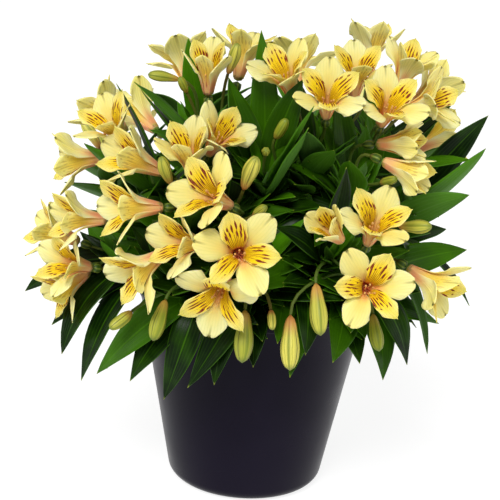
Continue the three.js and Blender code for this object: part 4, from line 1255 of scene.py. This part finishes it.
def inner_back():
    """The face's gold and marks, showing faintly through."""
    finish = Finish("inner_tepal_back", 0.62, **PETAL_SHEEN)
    across, along = finish.surface()
    tone = finish.tone()
    finish.base(PALE, IVORY, abs(across).rises(0.2, 1.0) * 0.7)
    golden = along.falls(0.5, 0.9) * abs(across).falls(0.5, 1.1)
    finish.over(AMBER, golden * 0.75)
    mark(finish, across, along, tone, 0.35)
    finish.over(BLUSH, along.falls(0.12, 0.45) * 0.7)
    finish.over(OLIVE, line(across, 0.14) * along.rises(0.6, 1.0) * 0.45)
    return finish.painted()


def receptacle():
    finish = Finish("receptacle", 0.5)
    finish.base(RECEPTACLE_GREEN, SALMON, finish.surface()[1].rises(0.1, 0.5) * 0.7)
    return finish.painted()


def filament():
    finish = Finish("filament", 0.5)
    finish.base(FILAMENT_ROSE, FILAMENT_GOLD, finish.surface()[1].rises(0.3, 0.9))
    return finish.painted()


def anther():
    finish = Finish("anther", 0.8)
    finish.base(POLLEN_BROWN, POLLEN_GOLD, finish.noise(900).rises(0.35, 0.65))
    return finish.painted()


def leaf(name, deep, bright, roughness, vein_share):
    """From a deep to a bright green by the leaf's tone, with pale veins, midrib and edge."""
    finish = Finish(name, roughness, Specular_IOR_Level=0.1)
    across, along = finish.surface()
    tone = finish.tone()
    finish.base(deep, bright, tone.rises(0.36, 0.96) * 0.9 + finish.noise(45).rises(0.4, 0.7) * 0.15)
    veins = (across * 26 + finish.noise(60) * 1.5).sine().rises(0.3, 1.0)
    pale = (bright[0] * 1.5, bright[1] * 1.35, bright[2] * 1.6)
    finish.over(pale, veins * vein_share)
    finish.over(pale, line(across, 0.07) * (0.45 - 0.3 * along))
    finish.over(pale, abs(across).rises(0.93, 1.0) * 0.35)
    finish.over(LIME, along.rises(0.975, 1.0) * 0.5)
    finish.emboss(veins * 0.7 + finish.noise(350) * 0.6, 0.16, 0.55)
    return finish.painted()


def stem_green():
    """Deep green with brown clouds, fresher towards the head."""
    finish = Finish("stem", 0.45)
    along = finish.surface()[1]
    finish.base(STEM_DEEP, STEM_BROWN, finish.noise(120).rises(0.42, 0.62) * 0.6)
    finish.over(STEM_FRESH, along.rises(0.6, 1.0) * 0.7)
    return finish.painted()


def stalk_green():
    """Green, redder towards the flower."""
    finish = Finish("flower_stalk", 0.5, Specular_IOR_Level=0.2)
    along = finish.surface()[1]
    tone = finish.tone()
    finish.base(STALK_GREEN, STALK_RED, along.rises(0.35, 1.0) * (0.1 + 0.5 * tone))
    return finish.painted()


def pod_green():
    """Light ribs on deep green, reddish at the stalk."""
    finish = Finish("seed_pod", 0.45, Specular_IOR_Level=0.3)
    across, along = finish.surface()
    ribs = (across * (6 * math.pi) + math.pi / 2).sine().rises(-0.2, 1.0)
    finish.base(POD_DEEP, POD_LIGHT, ribs)
    finish.over(POD_RED, along.falls(0.0, 0.5) * finish.tone() * 0.6)
    return finish.painted()


def bud_skin():
    """Yellow-green folds with fine veins and dark seams, blushed at the base, green at the tip."""
    finish = Finish("bud", 0.5, Specular_IOR_Level=0.3)
    across, along = finish.surface()
    tone = finish.tone()
    finish.base(BUD_GREEN, BUD_YELLOW, tone.rises(0.1, 0.9))
    veins = fine_veins(finish, across, 46)
    finish.over(BUD_VEIN, veins * 0.4)
    seam = abs((across * (1.5 * math.pi) + tone * 9).sine())
    finish.over(BUD_SEAM, seam.falls(0.05, 0.16) * along.rises(0.08, 0.3) * 0.85)
    rib = abs((across * (1.5 * math.pi) + tone * 9 + math.pi / 2).sine())
    finish.over(BUD_FOLD, rib.falls(0.1, 0.45) * 0.65)
    finish.over(BUD_TIP, along.rises(0.84, 1.0) * 0.7)
    finish.over(BUD_RED, along.falls(0.04, 0.42) * (0.25 + 0.7 * tone))
    finish.emboss(veins, 0.1, 0.4)
    return finish.painted()


def pot_plastic():
    """Dark plum plastic with a satin gloss."""
    finish = Finish("plum_plastic", 0.3, Specular_IOR_Level=0.08)
    cloud = finish.noise(9, 3.0)
    finish.base(PLUM_DEEP, PLUM_LIGHT, cloud.rises(0.35, 0.7))
    finish.feed(finish.shader.inputs["Roughness"], 0.26 + 0.08 * finish.noise(30).rises(0.3, 0.7))
    finish.emboss(finish.noise(900, 2.0), 0.012, 0.3)
    return finish.painted()


def potting_mix():
    """Dark crumbly peat."""
    finish = Finish("potting_mix", 0.95)
    finish.base(PEAT_DARK, PEAT_LIGHT, finish.noise(260, 6.0).rises(0.35, 0.7))
    finish.emboss(finish.noise(420, 6.0), 1.2, 0.9)
    return finish.painted()


def grit():
    """Pale grains."""
    finish = Finish("perlite", 0.9)
    finish.base(PERLITE_GREY, PERLITE_WHITE, finish.noise(500).rises(0.4, 0.6))
    return finish.painted()


def studio_white():
    """A floor that shows as plain white and still takes a faint shadow."""
    glow = {"Emission_Strength": 0.84, "Emission_Color": (1, 1, 1, 1)}
    finish = Finish("studio_floor", 0.7, Specular_IOR_Level=0.2, **glow)
    finish.colour = FLOOR_GREY
    return finish.painted()


def turned(name, profile, segments):
    """A closed round solid: a disc, drawn out ring by ring along a profile of [radius, height] points.

    The profile starts and ends on the axis.
    """
    rings = [(radius * MM, height * MM) for radius, height in profile[1:-1]]
    radius, height = rings[0]
    bpy.ops.mesh.primitive_circle_add(
        vertices=segments, radius=radius, fill_type="TRIFAN", location=(0, 0, 0), calc_uvs=False
    )
    piece = bpy.context.object
    piece.name = piece.data.name = name
    bpy.ops.object.mode_set(mode="EDIT")
    bpy.ops.transform.translate(value=(0, 0, height))
    for next_radius, next_height in rings[1:]:
        rise = {"value": (0, 0, next_height - height)}
        bpy.ops.mesh.extrude_region_move(TRANSFORM_OT_translate=rise)
        wider = next_radius / radius
        bpy.ops.transform.resize(value=(wider, wider, 1), center_override=(0, 0, 0))
        radius, height = next_radius, next_height
    bpy.ops.object.mode_set(mode="OBJECT")
    return piece


def arc(centre, radius, start, end, steps):
    """Points on an arc of the profile, angles in degrees."""
    turns = np.radians(np.linspace(start, end, steps))
    return [(centre[0] + radius * math.cos(turn), centre[1] + radius * math.sin(turn)) for turn in turns]


def pot_profile():
    """The wall's outline, from the middle of the underside up the outside and down the inside."""
    taper = (POT_RIM_RADIUS - POT_BASE_RADIUS) / POT_HEIGHT
    flat = POT_BASE_RADIUS - POT_BASE_ROUND
    profile = [(0, 0), (POT_FLOOR_RING, 0), (flat - 6, 0)]
    profile += [(x + taper * z, z) for x, z in arc((flat, POT_BASE_ROUND), POT_BASE_ROUND, -90, 0, 9)]
    lip = POT_HEIGHT - POT_LIP_HEIGHT
    profile += [(pot_outside(z), z) for z in (30, 60, 90, 120, lip - 1)]
    profile.append((pot_outside(lip) + 0.3, lip))
    profile.append((pot_outside(lip + POT_LIP_STEP) + POT_LIP_OUT, lip + POT_LIP_STEP))
    outer = pot_outside(POT_HEIGHT) + POT_LIP_OUT - POT_OUTER_RIM
    profile += arc((outer, POT_HEIGHT - POT_OUTER_RIM), POT_OUTER_RIM, 0, 90, 5)
    inner = pot_outside(POT_HEIGHT) - POT_WALL + POT_INNER_RIM
    profile += arc((inner, POT_HEIGHT - POT_INNER_RIM), POT_INNER_RIM, 90, 180, 5)
    profile += [(pot_outside(z) - POT_WALL, z) for z in (120, 60, POT_BASE_ROUND + 2)]
    profile += [(flat, POT_FLOOR), (POT_FLOOR_RING, POT_FLOOR), (0, POT_FLOOR)]
    return profile


def soil_surface(x, y):
    """Height of the potting mix over a place, with its lumps."""
    share = math.hypot(x, y) / (pot_outside(SOIL_EDGE_HEIGHT) - POT_WALL)
    dome = SOIL_EDGE_HEIGHT + SOIL_DOME * (1 - share**2)
    lumps = 1.3 * math.sin(x * 0.21 + 1.3) * math.sin(y * 0.17) + 0.7 * math.sin(x * 0.6 + y * 0.5)
    return dome - 1 + lumps * smooth(1 - share, 0, 0.2)


def soil_profile():
    """The filling's outline, from the middle of its underside up the wall and over the flat top."""
    edge = pot_outside(SOIL_EDGE_HEIGHT) - POT_WALL - GAP
    bottom = POT_FLOOR + GAP
    profile = [(0, bottom), (POT_BASE_RADIUS - POT_BASE_ROUND - 2, bottom)]
    profile += [(pot_outside(POT_BASE_ROUND + 3) - POT_WALL - GAP, POT_BASE_ROUND + 3)]
    profile += [(edge, SOIL_EDGE_HEIGHT - 1)]
    profile += [(edge * share, SOIL_EDGE_HEIGHT) for share in np.linspace(0.97, 0, 22)]
    return profile


def scatter_crumbs(count, finishes):
    """Loose bits that lie on the potting mix, some of them white grains."""
    bpy.ops.mesh.primitive_ico_sphere_add(subdivisions=1, radius=1)
    pattern = bpy.context.object
    corners = np.array([vertex.co[:] for vertex in pattern.data.vertices])
    faces = np.array([face.vertices[:] for face in pattern.data.polygons])
    bpy.data.objects.remove(pattern)
    draw = random.Random("crumbs")
    points = []
    for _ in range(count):
        reach = CRUMB_REACH * math.sqrt(draw.random())
        turn = 2 * math.pi * draw.random()
        x, y = reach * math.cos(turn), reach * math.sin(turn)
        radius = draw.uniform(*CRUMB_RADIUS)
        rough = corners * np.array([[draw.uniform(0.6, 1.2)] for _ in corners])
        points.append(rough * radius * (1, 1, 0.7) + (x, y, soil_surface(x, y) + 0.2 * radius))
    every = np.concatenate([faces + len(corners) * k for k in range(count)])
    crumbs = mesh_piece("crumbs", np.concatenate(points), every.tolist())
    for finish in finishes:
        crumbs.data.materials.append(finish)
    for face in crumbs.data.polygons:
        face.material_index = 1 if (face.index // len(faces)) % GRAIN_EVERY == 0 else 0
    return crumbs


class LilyFlowers(bpy.types.PropertyGroup):
    """Sizes of the blooms."""

    petal_thickness: bpy.props.FloatProperty(
        name="Petal thickness", description="Thickness of a tepal", default=0.55 * MM, unit="LENGTH"
    )
    petal_columns: bpy.props.IntProperty(
        name="Petal columns", description="Faces across a tepal", default=18, min=4
    )
    petal_rows: bpy.props.IntProperty(name="Petal rows", description="Faces along a tepal", default=17, min=6)


class LilyLeaves(bpy.types.PropertyGroup):
    """Sizes and colours of the leaves."""

    leaf_thickness: bpy.props.FloatProperty(
        name="Leaf thickness", description="Thickness of a leaf", default=0.5 * MM, unit="LENGTH"
    )
    leaf_columns: bpy.props.IntProperty(
        name="Leaf columns", description="Faces across a leaf", default=8, min=4
    )
    leaf_rows: bpy.props.IntProperty(name="Leaf rows", description="Faces along a leaf", default=14, min=6)
    deep_green: bpy.props.FloatVectorProperty(
        name="Deep green", description="Colour of the oldest leaves", default=(0.0023, 0.0106, 0.0006),
        subtype="COLOR",
    )
    # The upper leaves lean towards this green, partly as painted light on the upper crown
    bright_green: bpy.props.FloatVectorProperty(
        name="Bright green", description="Colour of the youngest leaves", default=(0.0546, 0.18, 0.0023),
        subtype="COLOR",
    )


class LilyPot(bpy.types.PropertyGroup):
    """Sizes of the pot and its filling."""

    segments: bpy.props.IntProperty(name="Segments", description="Faces round the pot", default=144, min=24)
    crumbs: bpy.props.IntProperty(
        name="Crumbs", description="Loose bits on the potting mix", default=420, min=1
    )


class LILY_OT_pot(bpy.types.Operator):
    """Draws the pot out from a disc and drills its drain holes"""

    bl_idname = "lily.pot"
    bl_label = "Pot"

    def execute(self, context):
        piece = turned("tapered_pot", pot_profile(), context.scene.lily_pot.segments)
        for k in range(DRAIN_HOLES):
            turn = 2 * math.pi * k / DRAIN_HOLES
            place = (DRAIN_CIRCLE * math.cos(turn) * MM, DRAIN_CIRCLE * math.sin(turn) * MM, 0)
            bpy.ops.mesh.primitive_cylinder_add(
                vertices=24, radius=DRAIN_RADIUS * MM, depth=4 * POT_FLOOR * MM, location=place
            )
            drill = bpy.context.object
            only(piece)
            cut = piece.modifiers.new("Drain hole", "BOOLEAN")
            cut.object = drill
            cut.solver = "EXACT"
            bpy.ops.object.modifier_apply(modifier=cut.name)
            bpy.data.objects.remove(drill)
        only(piece)
        bpy.ops.object.shade_smooth_by_angle(angle=math.radians(35))
        piece.data.materials.clear()
        piece.data.materials.append(pot_plastic())
        hand_over(piece, "pot")
        return {"FINISHED"}


class LILY_OT_soil(bpy.types.Operator):
    """Fills the pot with crumbly potting mix"""

    bl_idname = "lily.soil"
    bl_label = "Potting mix"

    def execute(self, context):
        sizes = context.scene.lily_pot
        piece = turned("potting_mix", soil_profile(), sizes.segments // 2)
        for vertex in piece.data.vertices:
            if vertex.co.z > (SOIL_EDGE_HEIGHT - 0.5) * MM:
                vertex.co.z = soil_surface(vertex.co.x / MM, vertex.co.y / MM) * MM
        finishes = (potting_mix(), grit())
        for finish in finishes:
            piece.data.materials.append(finish)
        join(piece, scatter_crumbs(sizes.crumbs, finishes))
        piece.data.shade_smooth()
        hand_over(piece, "soil")
        return {"FINISHED"}


def make_sheets(flowers, leaves):
    """The flat patterns of all blades and round parts, each with its faces across and along."""
    return {
        "tepal": Sheet(flowers.petal_columns, flowers.petal_rows, 1.12),
        "leaf": Sheet(leaves.leaf_columns, leaves.leaf_rows),
        "young": Sheet(4, leaves.leaf_rows - 4),
        "stem": Sheet(10, 24),
        "stalk": Sheet(8, 10),
        "pod": Sheet(18, 6),
        "bud": Sheet(24, 14),
        "filament": Sheet(6, 8),
        "anther": Sheet(8, 5),
    }


def make_greens(leaves):
    """A leafy stem's finishes, in their order. A leaf's back is duller and paler than its face."""
    deep, bright = tuple(leaves.deep_green), tuple(leaves.bright_green)
    dull = tuple(mix(part, 0.12, 0.2) for part in bright)
    face, back = leaf("leaf_face", deep, bright, 0.34, 0.05), leaf("leaf_back", bright, dull, 0.55, 0.2)
    return [face, back, stem_green(), stalk_green(), pod_green(), bud_skin()]


class LILY_OT_plant(bpy.types.Operator):
    """Grows the blooms and the leafy stems that carry them"""

    bl_idname = "lily.plant"
    bl_label = "Plant"

    def execute(self, context):
        sheets = make_sheets(context.scene.lily_flowers, context.scene.lily_leaves)
        tepals = [outer_face(), outer_back(), inner_face(), inner_back(), receptacle(), filament(), anther()]
        greens = make_greens(context.scene.lily_leaves)
        room = Room()
        places = {name: make_bloom(name, room, sheets, tepals) for name in BLOOMS}
        for bud in BUDS:
            axis = unit(np.array(bud.points, float))
            room.fill(np.array(bud.base) + axis * np.linspace(0, bud.length, 8)[:, None])
        stems = {key: Stem(key) for key in STEMS}
        grown = {key: stem_leaves(stem) for key, stem in stems.items()}
        for socket, tip, _ in sum(grown.values(), []):
            room.fill(socket.leaf_path(tip).points(np.linspace(0.1, 1, 12)))
        for key, stem in stems.items():
            blooms = [places[name] for name, bloom in BLOOMS.items() if bloom.stem == key]
            make_leafy_stem(stem, grown[key], blooms, room, sheets, greens)
        return {"FINISHED"}


# Studio, in metres: the camera stands where the photo's did, and the lights are soft
CAMERA_PLACE = (-0.005, -1.4, 0.646)
CAMERA_DOWN = math.radians(18.3)
CAMERA_ROLL = math.radians(3.3)
CAMERA_SENSOR = 36
CAMERA_LENS = 139.75
CAMERA_CLIP = 0.01
FLOOR_SIZE = 14
FLOOR_DROP = 0.0005
WORLD_STRENGTH = 0.31
SUN_STRENGTH = 3.2
SUN_WIDTH = math.radians(28)
SUN_PLACE = (-0.25, -1.0, 1.05)
EDGE_SIZE = (0.25, 0.8)
EDGE_AIM = (0, 0, 0.09)
EDGE_LIGHTS = {"Left edge": ((-1.0, -0.1, 0.4), 1.8), "Right edge": ((1.0, -0.1, 0.4), 2.5)}


def aimed(way):
    """The rotation that points a light along a way."""
    return way.to_track_quat("-Z", "Y").to_euler()


def add_floor():
    bpy.ops.mesh.primitive_plane_add(size=FLOOR_SIZE, location=(0, 0, -FLOOR_DROP))
    floor = bpy.context.object
    floor.name = "studio_floor"
    floor.data.materials.append(studio_white())


def add_world():
    world = bpy.data.worlds.new("Studio")
    world.use_nodes = True
    backdrop = world.node_tree.nodes["Background"]
    backdrop.inputs["Color"].default_value = (1, 1, 1, 1)
    backdrop.inputs["Strength"].default_value = WORLD_STRENGTH
    bpy.context.scene.world = world


def add_sun():
    sun = bpy.data.lights.new("Soft sun", "SUN")
    sun.energy = SUN_STRENGTH
    sun.angle = SUN_WIDTH
    put("Soft sun", sun).rotation_euler = aimed(-Vector(SUN_PLACE))


def add_edge_light(name, place, power):
    """A tall soft light that draws a pale edge down one side of the pot."""
    light = bpy.data.lights.new(name, "AREA")
    light.shape = "RECTANGLE"
    light.size, light.size_y = EDGE_SIZE
    light.energy = power
    holder = put(name, light)
    holder.location = place
    holder.rotation_euler = aimed(Vector(EDGE_AIM) - Vector(place))


def add_camera():
    """The photo's own view: from a little above, and rolled by a few degrees."""
    camera = put("Camera", bpy.data.cameras.new("Camera"))
    camera.data.sensor_width = CAMERA_SENSOR
    camera.data.lens = CAMERA_LENS
    camera.data.clip_start = CAMERA_CLIP
    forward = Vector((0, math.cos(CAMERA_DOWN), -math.sin(CAMERA_DOWN)))
    up = Vector((0, math.sin(CAMERA_DOWN), math.cos(CAMERA_DOWN)))
    right = Vector((1, 0, 0))
    rolled_right = right * math.cos(CAMERA_ROLL) + up * math.sin(CAMERA_ROLL)
    rolled_up = up * math.cos(CAMERA_ROLL) - right * math.sin(CAMERA_ROLL)
    camera.matrix_world = Matrix((rolled_right, rolled_up, -forward)).transposed().to_4x4()
    camera.location = CAMERA_PLACE
    bpy.context.scene.camera = camera


class LILY_OT_stage(bpy.types.Operator):
    """Sets the white floor, the soft lights and the camera"""

    bl_idname = "lily.stage"
    bl_label = "Studio"

    def execute(self, context):
        add_floor()
        add_world()
        add_sun()
        for name, (place, power) in EDGE_LIGHTS.items():
            add_edge_light(name, place, power)
        context.scene.view_settings.view_transform = "Standard"
        add_camera()
        return {"FINISHED"}


class LILY_PT_panel(bpy.types.Panel):
    """Lists the lily's sizes and its building steps"""

    bl_idname = "LILY_PT_panel"
    bl_label = "Peruvian lily"
    bl_space_type = "VIEW_3D"
    bl_region_type = "UI"
    bl_category = "Lily"

    def draw(self, context):
        for group in GROUPS:
            for key in GROUPS[group].__annotations__:
                self.layout.prop(getattr(context.scene, group), key)
        for step in STEPS:
            self.layout.operator(step.bl_idname)


GROUPS = {"lily_flowers": LilyFlowers, "lily_leaves": LilyLeaves, "lily_pot": LilyPot}
STEPS = (LILY_OT_stage, LILY_OT_pot, LILY_OT_soil, LILY_OT_plant)
CLASSES = (*GROUPS.values(), *STEPS, LILY_PT_panel)


def register():
    for made in CLASSES:
        bpy.utils.register_class(made)
    for name, group in GROUPS.items():
        setattr(bpy.types.Scene, name, bpy.props.PointerProperty(type=group))


def unregister():
    for name in GROUPS:
        delattr(bpy.types.Scene, name)
    for made in reversed(CLASSES):
        bpy.utils.unregister_class(made)


def main():
    register()
    bpy.ops.object.select_all(action="DESELECT")
    bpy.ops.lily.stage()
    bpy.ops.lily.pot()
    bpy.ops.lily.soil()
    bpy.ops.lily.plant()


if __name__ == "__main__":
    main()
